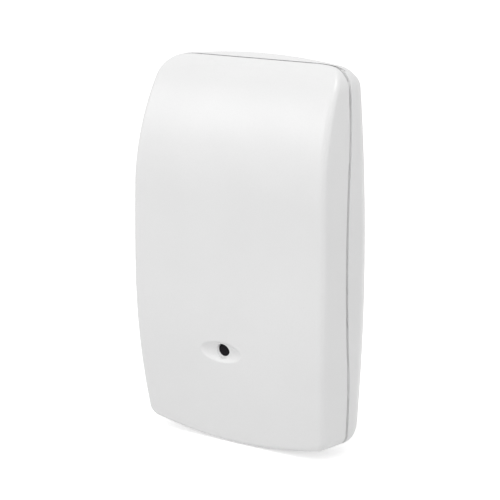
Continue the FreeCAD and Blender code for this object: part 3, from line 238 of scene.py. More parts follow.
# how finely a skin is drawn, in millimetres and degrees; its rays start at centre
skinMesh = {"centre": 3.1, "count": 27, "length": 1.6, "angle": 7,
            "gridX": 2.2, "gridZ": 1.25, "margin": 0.8}
toolMesh = {"centre": 3.3, "count": 18, "length": 3.0, "angle": 20,
            "gridX": 6.0, "gridZ": 1.6, "margin": 0.8}
baseMesh = {"rows": 60, "count": 16, "length": 1.3, "angle": 6}
# surfaces are found by halving between bounds in millimetres, to far below a micron
search = {"halvings": 44, "inward": (-2.0, 14.0), "front": (-5.0, 25.0), "rimRounds": 8,
          "rays": 300, "rayHalvings": 34, "rayReach": 40.0}


def arcRadius(half, bow):
    return (half * half + bow * bow) / (2 * bow)


def outlineArcs():
    # eight arcs, anticlockwise from the lower right: centre, radius, two angles, steps
    wide, tall = form["halfWidth"], form["halfHeight"]
    side = arcRadius(tall, form["sideBow"])
    top = arcRadius(wide, form["topBow"])
    bottom = arcRadius(wide, form["bottomBow"])
    right = np.array((wide - side, 0.0))
    above = np.array((0.0, tall - top))
    below = np.array((0.0, bottom - tall))

    def corner(cap, capRadius, radius):
        # centre of a corner round that touches the right side and the cap from inside
        reach, far = side - radius, capRadius - radius
        apart = cap - right
        span = math.hypot(*apart)
        along = (reach * reach - far * far + span * span) / (2 * span)
        off = math.sqrt(reach * reach - along * along)
        unit = apart / span
        spots = [right + unit * along + np.array((-unit[1], unit[0])) * off * s for s in (1, -1)]
        return max(spots, key=lambda spot: spot[0])

    high = corner(above, top, form["topCorner"])
    low = corner(below, bottom, form["bottomCorner"])

    def bearing(centre, point):
        return math.atan2(point[1] - centre[1], point[0] - centre[0])

    sideHigh, sideLow = bearing(right, high), bearing(right, low)
    topRight, bottomRight = bearing(above, high), bearing(below, low)
    flip = np.array((-1.0, 1.0))
    return [
        (right, side, sideLow, sideHigh, arcSteps["side"]),
        (high, form["topCorner"], sideHigh, topRight, arcSteps["topCorner"]),
        (above, top, topRight, math.pi - topRight, arcSteps["top"]),
        (high * flip, form["topCorner"], math.pi - topRight, math.pi - sideHigh,
         arcSteps["topCorner"]),
        (right * flip, side, math.pi - sideHigh, math.pi - sideLow, arcSteps["side"]),
        (low * flip, form["bottomCorner"], math.pi - sideLow, math.pi - bottomRight,
         arcSteps["bottomCorner"]),
        (below, bottom, math.pi - bottomRight, bottomRight + 2 * math.pi, arcSteps["bottom"]),
        (low, form["bottomCorner"], bottomRight, sideLow, arcSteps["bottomCorner"]),
    ]


def outlinePoints():
    # points of the widest section and their outward directions, anticlockwise
    points, outward = [], []
    for centre, radius, first, last, steps in outlineArcs():
        for k in range(steps):
            angle = first + (last - first) * k / steps
            direction = np.array((math.cos(angle), math.sin(angle)))
            points.append(centre + radius * direction)
            outward.append(direction)
    return np.array(points), np.array(outward)


crestZ = form["halfHeight"] + form["crestRise"] - form["crestRadius"]
crownAhead = form["depth"] - form["crownRadius"]
crestAhead = crownAhead + math.sqrt((form["crownRadius"] - form["crestRadius"]) ** 2
                                    - (crestZ - form["crownZ"]) ** 2)
chinAhead = form["depth"] - form["chinRadius"]


def frontDistance(z, ahead):
    # signed distance from the rolled front, and its direction (up, ahead)
    chin = np.hypot(z - form["chinZ"], ahead - chinAhead)
    crown = np.hypot(z - form["crownZ"], ahead - crownAhead)
    crest = np.hypot(z - crestZ, ahead - crestAhead)
    split = math.atan2(crestZ - form["crownZ"], crestAhead - crownAhead)
    onChin = z < form["chinZ"]
    onCrest = np.arctan2(z - form["crownZ"], ahead - crownAhead) > split
    onCrown = (z > form["crownZ"]) & ~onCrest
    distance = np.where(onChin, chin - form["chinRadius"], ahead - form["depth"])
    distance = np.where(onCrown, crown - form["crownRadius"], distance)
    distance = np.where(onCrest, crest - form["crestRadius"], distance)
    up = np.where(onChin, (z - form["chinZ"]) / chin, 0.0)
    up = np.where(onCrown, (z - form["crownZ"]) / crown, up)
    up = np.where(onCrest, (z - crestZ) / crest, up)
    return distance, up


def frontAhead(z):
    z = np.asarray(z, float)
    joinZ = crestZ + form["crestRadius"] * (crestZ - form["crownZ"]) / (
        form["crownRadius"] - form["crestRadius"])
    chin = chinAhead + np.sqrt(form["chinRadius"] ** 2 - (z - form["chinZ"]) ** 2)
    crown = crownAhead + np.sqrt(form["crownRadius"] ** 2 - (z - form["crownZ"]) ** 2)
    crest = crestAhead + np.sqrt(np.maximum(form["crestRadius"] ** 2 - (z - crestZ) ** 2, 0.0))
    ahead = np.where(z < form["chinZ"], chin, form["depth"])
    ahead = np.where(z > form["crownZ"], crown, ahead)
    return np.where(z > joinZ, crest, ahead)


def blend(a, b, cosine, radius):
    # two faces at an angle, joined by an arc of that radius
    sine2 = np.maximum(1 - cosine * cosine, 1e-9)
    u, v = a + radius, b + radius
    curved = ((u - v * cosine) > 0) & ((v - u * cosine) > 0) & (radius > 0)
    ball = np.sqrt(np.maximum((u * u + v * v - 2 * u * v * cosine) / sine2, 0.0)) - radius
    return np.where(curved, ball, np.maximum(a, b))


def formDistance(point, out, inward, ahead, inset, edge):
    # signed distance from the housing, measured in the section at one outline point
    z = point[..., 1] - inward * out[..., 1]
    draft = math.radians(form["draft"])
    taper = math.atan2(form["backTaper"], form["widestAhead"])
    lift = ahead - form["widestAhead"]
    drafted = (lift * math.tan(draft) - inward) * math.cos(draft) + inset
    tapered = (-lift * math.tan(taper) - inward) * math.cos(taper) + inset
    waist = form["waistRound"] if edge else 0.0
    wall = blend(drafted, tapered, math.cos(draft + taper), waist)
    front, up = frontDistance(z, ahead)
    forward = np.sqrt(np.maximum(1 - up * up, 0.0))
    cosine = up * out[..., 1] * math.cos(draft) + forward * math.sin(draft)
    return blend(front + inset, wall, cosine, edge)


def seamAhead(z):
    # the seam's distance from the wall: a hump at half height that eases out to both ends
    step = (form["seamMid"] - form["seamEnd"]) / 2
    quarter = form["halfHeight"] / 2
    radius = (quarter * quarter + step * step) / (2 * step)
    z = np.abs(np.asarray(z, float))
    humped = form["seamMid"] - radius + np.sqrt(np.maximum(radius ** 2 - z ** 2, 0.0))
    dipped = form["seamEnd"] + radius - np.sqrt(np.maximum(
        radius ** 2 - (form["halfHeight"] - z) ** 2, 0.0))
    return np.where(z < quarter, humped, dipped)


outline, outward = outlinePoints()
print("outline:", len(outline), "points")


def solveInward(ahead, inset, edge):
    # how far in from the outline the skin lies at that distance from the wall
    near, far = (np.full(len(outline), bound) for bound in search["inward"])
    for _ in range(search["halvings"]):
        middle = (near + far) / 2
        outside = formDistance(outline, outward, middle, ahead, inset, edge) > 0
        near, far = np.where(outside, middle, near), np.where(outside, far, middle)
    return (near + far) / 2


def rimAhead(shift):
    # height of the rim at each outline point, on the seam's surface
    inward = np.zeros(len(outline))
    for _ in range(search["rimRounds"]):  # seam and draft depend on each other, and settle
        ahead = seamAhead(outline[:, 1] - inward * outward[:, 1]) + shift
        inward = solveInward(ahead, 0.0, form["edgeRound"])
    return ahead


def resample(dense, count, length, angle):
    # count + 1 points along each dense curve, closer where it turns
    step = np.diff(dense, axis=1)
    size = np.hypot(step[..., 0], step[..., 1])
    heading = np.unwrap(np.arctan2(step[..., 1], step[..., 0]), axis=1)
    turn = np.abs(np.diff(heading, axis=1, prepend=heading[:, :1]))
    gauge = np.cumsum(size / length + turn / math.radians(angle), axis=1)
    gauge = np.concatenate([np.zeros((len(dense), 1)), gauge], axis=1)
    wanted = np.linspace(0, 1, count + 1)
    rows = []
    for line, measure in zip(dense, gauge):
        at = wanted * measure[-1]
        rows.append(np.stack([np.interp(at, measure, line[:, k]) for k in (0, 1)], 1))
    return np.array(rows)


def place(inward, ahead):
    # section coordinates to metres in the frame; one row for each outline point
    x = outline[:, :1] - inward * outward[:, :1]
    z = outline[:, 1:] - inward * outward[:, 1:]
    return np.stack([x, -ahead, z], -1) * mm


def stitched(around, along):
    # quads between neighbouring sections
    faces = []
    for i in range(around):
        a, b = i * along, (i + 1) % around * along
        faces += [(a + k, b + k, b + k + 1, a + k + 1) for k in range(along - 1)]
    return faces


def traceSkin(inset, edge, rim, mesh):
    # from the rim over the edge to the front, by rays from a point inside each section
    turn = np.linspace(0, math.pi / 2, search["rays"])[None, :]
    spot, out = outline[:, None, :], outward[:, None, :]
    near = np.zeros((len(outline), turn.shape[1]))
    far = np.full((len(outline), turn.shape[1]), search["rayReach"])
    for _ in range(search["rayHalvings"]):
        reach = (near + far) / 2
        inward = mesh["centre"] - np.cos(turn) * reach
        ahead = rim[:, None] + np.sin(turn) * reach
        outside = formDistance(spot, out, inward, ahead, inset, edge) > 0
        near, far = np.where(outside, near, reach), np.where(outside, reach, far)
    return resample(np.stack([inward, ahead], -1), mesh["count"], mesh["length"], mesh["angle"])


def toward(first, second):
    return (second - first) / np.linalg.norm(second - first, axis=1, keepdims=True)


def bend(start, corner, end):
    # five points of a soft corner in each section
    steps = np.linspace(0, 1, 5)[None, :, None]
    return (start[:, None] * (1 - steps) ** 2 + 2 * corner[:, None] * steps * (1 - steps)
            + end[:, None] * steps ** 2)


def roundRim(line, radius, shift):
    # a small round between the seam face and the skin, with the seam face inside it
    first = line[:, 0]
    corner = bend(first + np.array((radius, 0.0)), first,
                  first + toward(first, line[:, 1]) * radius)
    inside = first + np.array((form["rimFace"], 0.0))
    inside[:, 1] = seamAhead(outline[:, 1] - inside[:, 0] * outward[:, 1]) + shift
    return np.concatenate([inside[:, None], corner, line[:, 1:]], axis=1)


def fillLoop(loop, extra, hole=0):
    # triangles over a closed loop, through the extra points; the first ones may ring a hole
    count = len(loop)
    points = [Vector(p) for p in loop] + [Vector(p) for p in extra]
    result = delaunay_2d_cdt(points, [(k, (k + 1) % count) for k in range(count)],
                             [list(range(count))], 1, 1e-7)  # 1 keeps what is inside the loop
    source = [ids[0] for ids in result[3]]
    found = [[source[v] for v in face] for face in result[2]]
    return [face for face in found if not all(count <= v < count + hole for v in face)]


def frontSkin(grid, extra, ahead, hole=0):
    # a skin's points and faces, its front filled in through the extra points (x, z), which
    # lie ahead of the wall by ahead; the third result is the number of the first of them
    around, along = grid.shape[:2]
    points = list(grid.reshape(-1, 3))
    first = len(points)
    points += [np.array((x, -far, z)) * mm for (x, z), far in zip(extra, ahead)]
    number = [k * along + along - 1 for k in range(around)] + list(range(first, len(points)))
    filled = fillLoop(rimLoop(grid), extra, hole)
    return points, stitched(around, along) + [[number[v] for v in f] for f in filled], first


def rimLoop(grid):
    # the last point of each section, as (x, z) in millimetres
    return grid[:, -1][:, (0, 2)] / mm


def gridInside(loop, mesh, skip=None):
    # staggered points within a loop, some way off its line
    stepX, stepZ, margin = mesh["gridX"], mesh["gridZ"], mesh["margin"]
    spots = []
    arcs = [(arc[0], arc[1]) for arc in outlineArcs() if arc[1] > 20]  # not the corners
    inset = np.min([r - np.linalg.norm(loop - c, axis=1) for c, r in arcs], axis=0).max()
    rows = np.arange(-form["halfHeight"], form["halfHeight"], stepZ)
    columns = np.arange(-form["halfWidth"] + stepX / 2, form["halfWidth"], stepX)
    for row, z in enumerate(rows):
        for x in columns + (stepX / 2 if row % 2 else 0):
            spot = np.array((x, z))
            if any(np.linalg.norm(spot - c) > r - inset - margin for c, r in arcs):
                continue
            if np.min(np.linalg.norm(loop - spot, axis=1)) < margin or (skip and skip(x, z)):
                continue
            spots.append(spot)
    return spots


# sound port: an oval dish, tilted with the chin, and a round bore in its middle
port = {
    "x": -1.9, "z": -24.85, "dishWidth": 13.0, "dishHeight": 5.3, "dishDepth": 1.15,
    "dishCrown": 1.2, "dishSoft": 0.14, "bore": 3.9, "lip": 0.14, "blind": 1.75,
    "ringOff": 0.1, "ringRise": 0.05, "ringWide": 0.16,  # faint raised ring round the bore
    "around": 72, "keepOut": 2.0,
    "lipRings": (0.0, 0.02, 0.06, 0.12, 0.19, 0.28, 0.38),  # beyond the bore
    "bowlShares": (0.1, 0.22, 0.36, 0.52, 0.7, 0.86, 1.0), "bowlShort": (0.28, 0.24),
    "edgeRings": (-0.14, -0.07, 0.0, 0.08, 0.17, 0.3, 0.5, 0.85, 1.3),  # over the dish's edge
}
portAhead = float(frontAhead(port["z"]))


def dishAhead(x, z):
    # the front with the dish and the rounded lip of the bore let into it
    x = x - port["x"]
    reach = port["dishCrown"] + port["dishDepth"]
    spread = math.sqrt(1 - (port["dishCrown"] / reach) ** 2)
    across, up = port["dishWidth"] / 2 / spread, port["dishHeight"] / 2 / spread
    tilt = math.asin((form["chinZ"] - port["z"]) / form["chinRadius"])
    sine, cosine = math.sin(tilt), math.cos(tilt)
    rise = z - (port["z"] - port["dishCrown"] * sine)
    a = (sine / up) ** 2 + (cosine / reach) ** 2
    b = 2 * rise * sine * cosine * (1 / up ** 2 - 1 / reach ** 2)
    c = (x / across) ** 2 + rise ** 2 * ((cosine / up) ** 2 + (sine / reach) ** 2) - 1
    root = b * b - 4 * a * c
    face = frontAhead(z)
    bowl = (portAhead + port["dishCrown"] * cosine
            + (-b - np.sqrt(np.maximum(root, 0.0))) / (2 * a))
    bowl = np.where(root < 0, face + 9.0, bowl)  # outside the dish it lies well ahead
    share = np.clip(0.5 + 0.5 * (bowl - face) / port["dishSoft"], 0, 1)
    ahead = bowl * (1 - share) + face * share - port["dishSoft"] * share * (1 - share)
    gap = np.hypot(x, z - port["z"]) - port["bore"] / 2
    ahead = ahead + port["ringRise"] * np.exp(
        -((gap - port["lip"] - port["ringOff"]) / port["ringWide"]) ** 2)
    edge = np.clip(port["lip"] - gap, 0, port["lip"])
    sunk = port["lip"] - np.sqrt(np.maximum(port["lip"] ** 2 - edge ** 2, 0.0))
    return ahead - sunk


def dishRings():
    # rings of points from the bore, which is round, out over the dish's oval edge
    bore, wide, tall = port["bore"] / 2, port["dishWidth"] / 2, port["dishHeight"] / 2
    radii = [(bore + off, bore + off) for off in port["lipRings"]]
    last = radii[-1][0]
    shortX, shortZ = port["bowlShort"]
    for share in port["bowlShares"]:
        radii.append((last + (wide - shortX - last) * share, last + (tall - shortZ - last) * share))
    radii += [(wide + off, tall + off) for off in port["edgeRings"]]
    rings = []
    for row, (a, b) in enumerate(radii):
        for k in range(port["around"]):
            angle = 2 * math.pi * (k + 0.5 * (row % 2)) / port["around"]
            rings.append(np.array((port["x"] + a * math.cos(angle),
                                   port["z"] + b * math.sin(angle))))
    return rings


def nearDish(x, z):
    wide, tall = (port[key] / 2 + port["keepOut"] for key in ("dishWidth", "dishHeight"))
    return ((x - port["x"]) / wide) ** 2 + ((z - port["z"]) / tall) ** 2 < 1


def makeCoverSkin():
    # the whole outside of the cover as one closed solid, with a blind bore
    shift = form["seamGap"] / 2
    rim = rimAhead(shift)
    line = roundRim(traceSkin(0.0, form["edgeRound"], rim, skinMesh), form["rimRound"], shift)
    grid = place(line[..., 0], line[..., 1])
    # front: rings round the dish, then a grid
    count = port["around"]
    spots = np.array(dishRings() + gridInside(rimLoop(grid), skinMesh, nearDish))
    ahead = dishAhead(spots[:, 0], spots[:, 1])
    points, faces, first = frontSkin(grid, spots, ahead, count)
    # bore: the innermost ring carried back twice, and a floor
    rows = [range(first, first + count)]
    floor = portAhead - port["blind"]
    for share in (0.5, 1.0):
        rows.append(range(len(points), len(points) + count))
        for (x, z), far in zip(spots[:count], ahead):
            points.append(np.array((x, -(far + (floor - far) * share), z)) * mm)
    for upper, lower in zip(rows, rows[1:]):
        for k in range(count):
            j = (k + 1) % count
            faces.append((upper[k], upper[j], lower[j], lower[k]))
    faces.append(list(rows[-1]))
    # seam face: closed flat across, which the inside later cuts away
    faces.append(range(0, first, grid.shape[1]))
    return closed(meshObject("coverShell", points, faces))


# thin lip on the base over the hinge, clear of the circle that the cover's rim swings in
topLip = {"reach": 0.68, "full": 21.0, "end": 27.0, "low": 44.0, "swing": 2.93, "half": 26.5,
          "sides": 120}


def lipReach():
    side = (topLip["end"] - np.abs(outline[:, 0])) / (topLip["end"] - topLip["full"])
    side = np.clip(side, 0, 1)
    reach = topLip["reach"] * side * side * (3 - 2 * side)
    return np.where(outline[:, 1] > topLip["low"], reach, 0.0)


def makeBaseSkin():
    # the outside of the base as one closed solid, from the wall to its rim
    shift = lipReach() - form["seamGap"] / 2
    rim = rimAhead(shift)
    ahead = rim[:, None] * np.linspace(0, 1, baseMesh["rows"])[None, :]
    inward = np.stack([solveInward(row, 0.0, form["edgeRound"]) for row in ahead.T], 1)
    dense = np.stack([inward, ahead], -1)[:, ::-1]
    line = resample(dense, baseMesh["count"], baseMesh["length"], baseMesh["angle"])
    line = roundRim(line, form["rimRound"], shift)
    foot = line[:, -1]
    corner = bend(foot + toward(foot, line[:, -2]) * form["backRound"], foot,
                  foot + np.array((form["backRound"], 0.0)))
    line = np.concatenate([line[:, :-1], corner], axis=1)
    line[..., 1] = np.maximum(line[..., 1], form["backLift"])
    grid = place(line[..., 0], line[..., 1])
    count, rows = grid.shape[:2]
    ends = [range(0, count * rows, rows), range(rows - 1, count * rows, rows)]
    return closed(meshObject("baseShell", grid.reshape(-1, 3), stitched(count, rows) + ends))


def insideForm(name, inset, low):
    # the housing drawn in by inset, as a tool that reaches back to low
    line = traceSkin(inset, 0.0, np.full(len(outline), low), toolMesh)
    grid = place(line[..., 0], line[..., 1])
    spots = gridInside(rimLoop(grid), toolMesh)
    points, faces, first = frontSkin(grid, spots, [offsetFront(z, inset) for _, z in spots])
    return closed(meshObject(name, points, faces + [range(0, first, grid.shape[1])]))


def offsetFront(z, inset):
    # the front's distance from the wall at that height, drawn in by inset
    near, far = search["front"]
    for _ in range(search["halvings"]):
        middle = (near + far) / 2
        if float(frontDistance(np.array(z), np.array(middle))[0]) + inset > 0:
            far = middle
        else:
            near = middle
    return (near + far) / 2


def copyNode(name):
    # a node's own mesh as a closed tool: its corners are merged within a tenth of a micron
    shape = linked(name + ".copy", nodes[name].data.copy())
    work = bmesh.new()
    work.from_mesh(shape.data)
    bmesh.ops.remove_doubles(work, verts=work.verts[:], dist=1e-7)
    loose = [e for e in work.edges if len(e.link_faces) != 2]
    work.to_mesh(shape.data)
    work.free()
    print(name, "copy:", len(shape.data.polygons), "faces,", len(loose), "open edges")
    return shape


def carve(target, tool, kind):
    cutter = target.modifiers.new("cutter", "BOOLEAN")
    cutter.operation = kind
    cutter.solver = "MANIFOLD"
    cutter.object = tool
    spent = [target.data, tool.data]
    baked(target)
    bpy.data.objects.remove(tool)
    for mesh in spent:
        bpy.data.meshes.remove(mesh)
    return target


def boxMesh(name, low, high):
    # corners are (x, ahead, z)
    xs, aheads, zs = zip(low, high)
    points = [point(x, ahead, z) for z in zs for ahead in aheads for x in xs]
    faces = [(0, 1, 3, 2), (4, 6, 7, 5), (0, 4, 5, 1), (2, 3, 7, 6), (0, 2, 6, 4), (1, 5, 7, 3)]
    return closed(meshObject(name, points, faces))


def barMesh(name, left, right, ahead, z, radius, sides=24):
    # a round bar along x
    angles = [2 * math.pi * (k + 0.5) / sides for k in range(sides)]
    return ringMesh(name, [
        [point(x, ahead + radius * math.cos(angle), z + radius * math.sin(angle))
         for angle in angles] for x in (left, right)])


# hinge pockets and pry notch that the cover's own skin needs
fittings = {
    "hookX": 12.0, "hookHalf": 3.27, "pivotAhead": 9.005, "pivotZ": 45.479, "pocket": 0.62,
    "pryHalf": 4.51, "pryDepth": 1.41, "pryTop": -47.29, "past": 6,
}

# how deep the drawn skins and the CAD's own insides reach, so that they overlap in the wall
walls = {"coverSkin": 1.4, "coverInside": 1.2, "coverFrom": 2.0,
         "baseSkin": 0.5, "baseInside": 0.4, "baseFrom": -0.2}


def makeCover():
    shell = makeCoverSkin()
    start = walls["coverFrom"]
    carve(shell, insideForm("coverHollow", walls["coverSkin"], start), "DIFFERENCE")
    inner = carve(copyNode("front_cover"), insideForm("coverInner", walls["coverInside"], start),
                  "INTERSECT")
    carve(shell, inner, "UNION")
    for x in (-fittings["hookX"], fittings["hookX"]):
        left, right = x - fittings["hookHalf"], x + fittings["hookHalf"]
        carve(shell, barMesh("pocket", left, right, fittings["pivotAhead"], fittings["pivotZ"],
                             fittings["pocket"]), "DIFFERENCE")
    rim, half, past = form["seamEnd"] + form["seamGap"] / 2, fittings["pryHalf"], fittings["past"]
    carve(shell, boxMesh("pryNotch", (-half, rim - past, -form["halfHeight"] - past),
                         (half, rim + fittings["pryDepth"], fittings["pryTop"])), "DIFFERENCE")
    weigh(smooth(shell, "shell"))
    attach(shell, "cover")
    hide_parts("front_cover")
    print("cover:", len(shell.data.polygons), "faces")
    return shell


# millimetres in from the skin, below the base's rim, off the cover's rim, and highest z
seamFloor = {"depth": 1.0, "root": 2.3, "below": 0.3, "clear": 0.12, "top": 38.0}


def makeSeamFloor():
    # root of the base's tongue: the ledge that is seen at the bottom of the shadow gap; it
    # runs down one side and up the other, and stops under the hinge
    low = rimAhead(-form["seamGap"] / 2) - seamFloor["below"]
    high = rimAhead(form["seamGap"] / 2) - seamFloor["clear"]
    order = [k for k in range(len(outline)) if outline[k, 1] < seamFloor["top"]]
    gap = next(i for i in range(len(order))
               if (order[i] + 1) % len(outline) != order[(i + 1) % len(order)])
    order = order[gap + 1:] + order[:gap + 1]
    depth, root = seamFloor["depth"], seamFloor["root"]
    rings = []
    for k in order:
        ring = []
        for inward, ahead in ((depth, low[k]), (depth, high[k]), (root, high[k]), (root, low[k])):
            spot = outline[k] - inward * outward[k]
            ring.append(point(spot[0], ahead, spot[1]))
        rings.append(ring)
    return ringMesh("seamFloor", rings)


def makeBase():
    shell = makeBaseSkin()
    start = walls["baseFrom"]
    carve(shell, insideForm("baseHollow", walls["baseSkin"], start), "DIFFERENCE")
    carve(shell, barMesh("swing", -topLip["half"], topLip["half"], fittings["pivotAhead"],
                         fittings["pivotZ"], topLip["swing"], topLip["sides"]), "DIFFERENCE")
    inner = carve(copyNode("rear_base"), insideForm("baseInner", walls["baseInside"], start),
                  "INTERSECT")
    carve(shell, inner, "UNION")
    carve(shell, makeSeamFloor(), "UNION")
    weigh(smooth(shell, "shell"))
    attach(shell, "base")
    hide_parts("rear_base")
    print("base:", len(shell.data.polygons), "faces")
    return shell


coverShell = makeCover()
baseShell = makeBase()

# finishes: tones are sRGB; patch is the size in millimetres of the clouds of tone, and grain
# the size and depth of the fine relief, drawn coarser than real where it would not show
finishes = {
    # cool bright metal with a slightly clouded plating
    "zincSteel": {"name": "steel, bright zinc", "tones": ("C4C8CC", "A9AFB6"), "patch": 1.4,
                  "rough": (0.24, 0.38), "metal": 1.0, "grain": (0.10, 0.003)},
    # warm pale metal, a touch duller where it was bent
    "nickelBrass": {"name": "brass, nickel plated", "tones": ("C9C2B2", "B3AA97"), "patch": 1.8,
                    "rough": (0.28, 0.42), "metal": 1.0, "grain": (0.14, 0.003)},
    # soft grey shine of solder and tinned leads
    "tin": {"name": "tin, matt plated", "tones": ("C8C9C8", "ADB0B1"), "patch": 0.9,
            "rough": (0.34, 0.5), "metal": 1.0, "grain": (0.08, 0.003)},
    # yellow metal of the header pins
    "gold": {"name": "gold flash on brass", "tones": ("D9B35C", "C79E48"), "patch": 1.2,
             "rough": (0.22, 0.32), "metal": 1.0, "grain": (0.10, 0.002)},
    # drawn aluminium: fine silky metal
    "aluminium": {"name": "aluminium, drawn", "tones": ("CBCDCF", "B9BCBF"), "patch": 2.2,
                  "rough": (0.26, 0.36), "metal": 1.0, "grain": (0.16, 0.004)},
    # dull warm steel can of the crystal
    "crystalSteel": {"name": "steel, nickel plated can", "tones": ("BDBBB4", "A8A69F"),
                     "patch": 2.6, "rough": (0.26, 0.40), "metal": 1.0, "grain": (0.20, 0.004)},
    # green moulded nylon with a soft sheen
    "terminalPlastic": {"name": "nylon, green", "tones": ("2F8A57", "28794C"), "patch": 3.5,
                        "rough": (0.38, 0.5), "grain": (0.30, 0.006)},
    # black plastic that greys a little at a glance
    "blackPlastic": {"name": "nylon, black", "tones": ("1D1E20", "26272A"), "patch": 3.0,
                     "rough": (0.42, 0.55), "grain": (0.25, 0.006)},
    # warm white, slightly waxy plunger
    "ivoryPlastic": {"name": "acetal, ivory", "tones": ("E3DAC3", "DACFB4"), "patch": 2.0,
                     "rough": (0.30, 0.42), "grain": (0.30, 0.003)},
    # strong red of the slide switch
    "switchPlastic": {"name": "polyester, red", "tones": ("B3261F", "A0201B"), "patch": 3.0,
                      "rough": (0.34, 0.46), "grain": (0.22, 0.005)},
    # small clean white sliders
    "sliderPlastic": {"name": "nylon, white", "tones": ("E8E7E2", "DDDCD6"), "patch": 1.0,
                      "rough": (0.36, 0.48), "grain": (0.20, 0.004)},
    # dull dark rubber, no highlight
    "bootRubber": {"name": "silicone rubber, dark grey", "tones": ("2C2D2F", "36373A"),
                   "patch": 2.0, "rough": (0.72, 0.88), "grain": (0.22, 0.012)},
    # grainy grey-black moulding compound
    "chipEpoxy": {"name": "epoxy moulding compound", "tones": ("222326", "2B2C2F"), "patch": 1.6,
                  "rough": (0.52, 0.68), "grain": (0.09, 0.008)},
    # glassy black film of a chip resistor
    "resistorFilm": {"name": "resistor, glazed black", "tones": ("17181B", "202227"), "patch": 0.6,
                     "rough": (0.22, 0.34), "grain": (0.10, 0.003)},
    # fired tan ceramic
    "ceramic": {"name": "ceramic, tan", "tones": ("A98763", "96734F"), "patch": 0.7,
                "rough": (0.42, 0.56), "grain": (0.10, 0.005)},
    # pale blue-grey relay case, smoother than the housing
    "relayPlastic": {"name": "polyester, pale blue grey", "tones": ("C9D2D8", "BFC9D0"),
                     "patch": 5.0, "rough": (0.32, 0.42), "grain": (0.35, 0.005)},
    # rough dark grey of sintered ferrite
    "ferrite": {"name": "ferrite, sintered", "tones": ("3A3B3D", "2C2D2F"), "patch": 1.1,
                "rough": (0.55, 0.75), "grain": (0.16, 0.014)},
    # clear red and amber lenses that let light in
    "redLens": {"name": "epoxy lens, red", "tones": ("C41D18", "A91512"), "patch": 1.2,
                "rough": (0.12, 0.2), "grain": (0.4, 0.002), "clear": 0.35},
    "amberLens": {"name": "epoxy lens, amber", "tones": ("E0901A", "CC7C12"), "patch": 1.2,
                  "rough": (0.12, 0.2), "grain": (0.4, 0.002), "clear": 0.35},
    # white lamp body under the lens
    "lampBase": {"name": "nylon, lamp white", "tones": ("D9D8D0", "CFCEC5"), "patch": 0.8,
                 "rough": (0.45, 0.55), "grain": (0.12, 0.004)},
    # blue jumper cap
    "capPlastic": {"name": "polyester, blue", "tones": ("2458A8", "1E4C95"), "patch": 2.0,
                   "rough": (0.34, 0.44), "grain": (0.20, 0.005)},
}


def startMaterial(name):
    material = bpy.data.materials.new(name)
    material.use_nodes = True
    material.node_tree.nodes.clear()
    spot = addNode(material.node_tree, "ShaderNodeTexCoord").outputs["Object"]
    return material, material.node_tree, spot


def cloud(tree, spot, size, detail=2.0):
    # soft random field with features of that size in millimetres
    return addNode(tree, "ShaderNodeTexNoise", {"Vector": spot, "Scale": 1000 / size,
                                                "Detail": detail}).outputs[0]


def ranged(tree, value, low, high, start=0.3, end=0.7):
    # a noise lies mostly between start and end, and is spread over low to high
    return addNode(tree, "ShaderNodeMapRange", {"Value": value, "From Min": start, "From Max": end,
                                                "To Min": low, "To Max": high}).outputs[0]


def mixColour(tree, share, first, second):
    # sockets 6 and 7 are the two colours, and output 2 is their mix
    return addNode(tree, "ShaderNodeMix", {0: share, 6: first, 7: second},
                   data_type="RGBA").outputs[2]


def bumped(tree, height, depth):
    return addNode(tree, "ShaderNodeBump", {"Height": height, "Distance": depth * mm}).outputs[0]


def shown(tree, surface):
    addNode(tree, "ShaderNodeOutputMaterial", {"Surface": surface})


def shaderOf(tree, spot, key):
    finish = finishes[key]
    share = cloud(tree, spot, finish["patch"])
    fine = cloud(tree, spot, finish["grain"][0], 3.0)
    tones = [linear(tone) for tone in finish["tones"]]
    return addNode(tree, "ShaderNodeBsdfPrincipled", {
        "Base Color": mixColour(tree, ranged(tree, share, 0.0, 1.0), *tones),
        "Roughness": ranged(tree, share, *finish["rough"]), "Metallic": finish.get("metal", 0.0),
        "Normal": bumped(tree, fine, finish["grain"][1]),
        "Transmission Weight": finish.get("clear", 0.0)}).outputs[0]


def makeFinish(key):
    material, tree, spot = startMaterial(finishes[key]["name"])
    shown(tree, shaderOf(tree, spot, key))
    return material


def makeSplitFinish(name, first, second, maskOf):
    # the second finish where the mask is 1
    material, tree, spot = startMaterial(name)
    axes = addNode(tree, "ShaderNodeSeparateXYZ", {0: spot}).outputs
    shown(tree, addNode(tree, "ShaderNodeMixShader", {
        0: maskOf(tree, axes), 1: shaderOf(tree, spot, first),
        2: shaderOf(tree, spot, second)}).outputs[0])
    return material


# moulded ABS: neutral off-white with a soft sheen. Its spark texture only breaks up the
# highlights; it is drawn near half a millimetre, coarser than real, so that it shows
housingLook = {
    "cover": ("E7E7E7", "E4E4E4", "E1E1E1"), "base": ("E6E6E6", "E3E3E3", "E0E0E0"),
    "patch": 26.0, "rough": (0.35, 0.39), "spark": 0.42, "pore": 0.6, "poreShare": 0.5,
    "depth": 0.006, "speckShare": 0.35, "speckFrom": (0.45, 0.75),
}


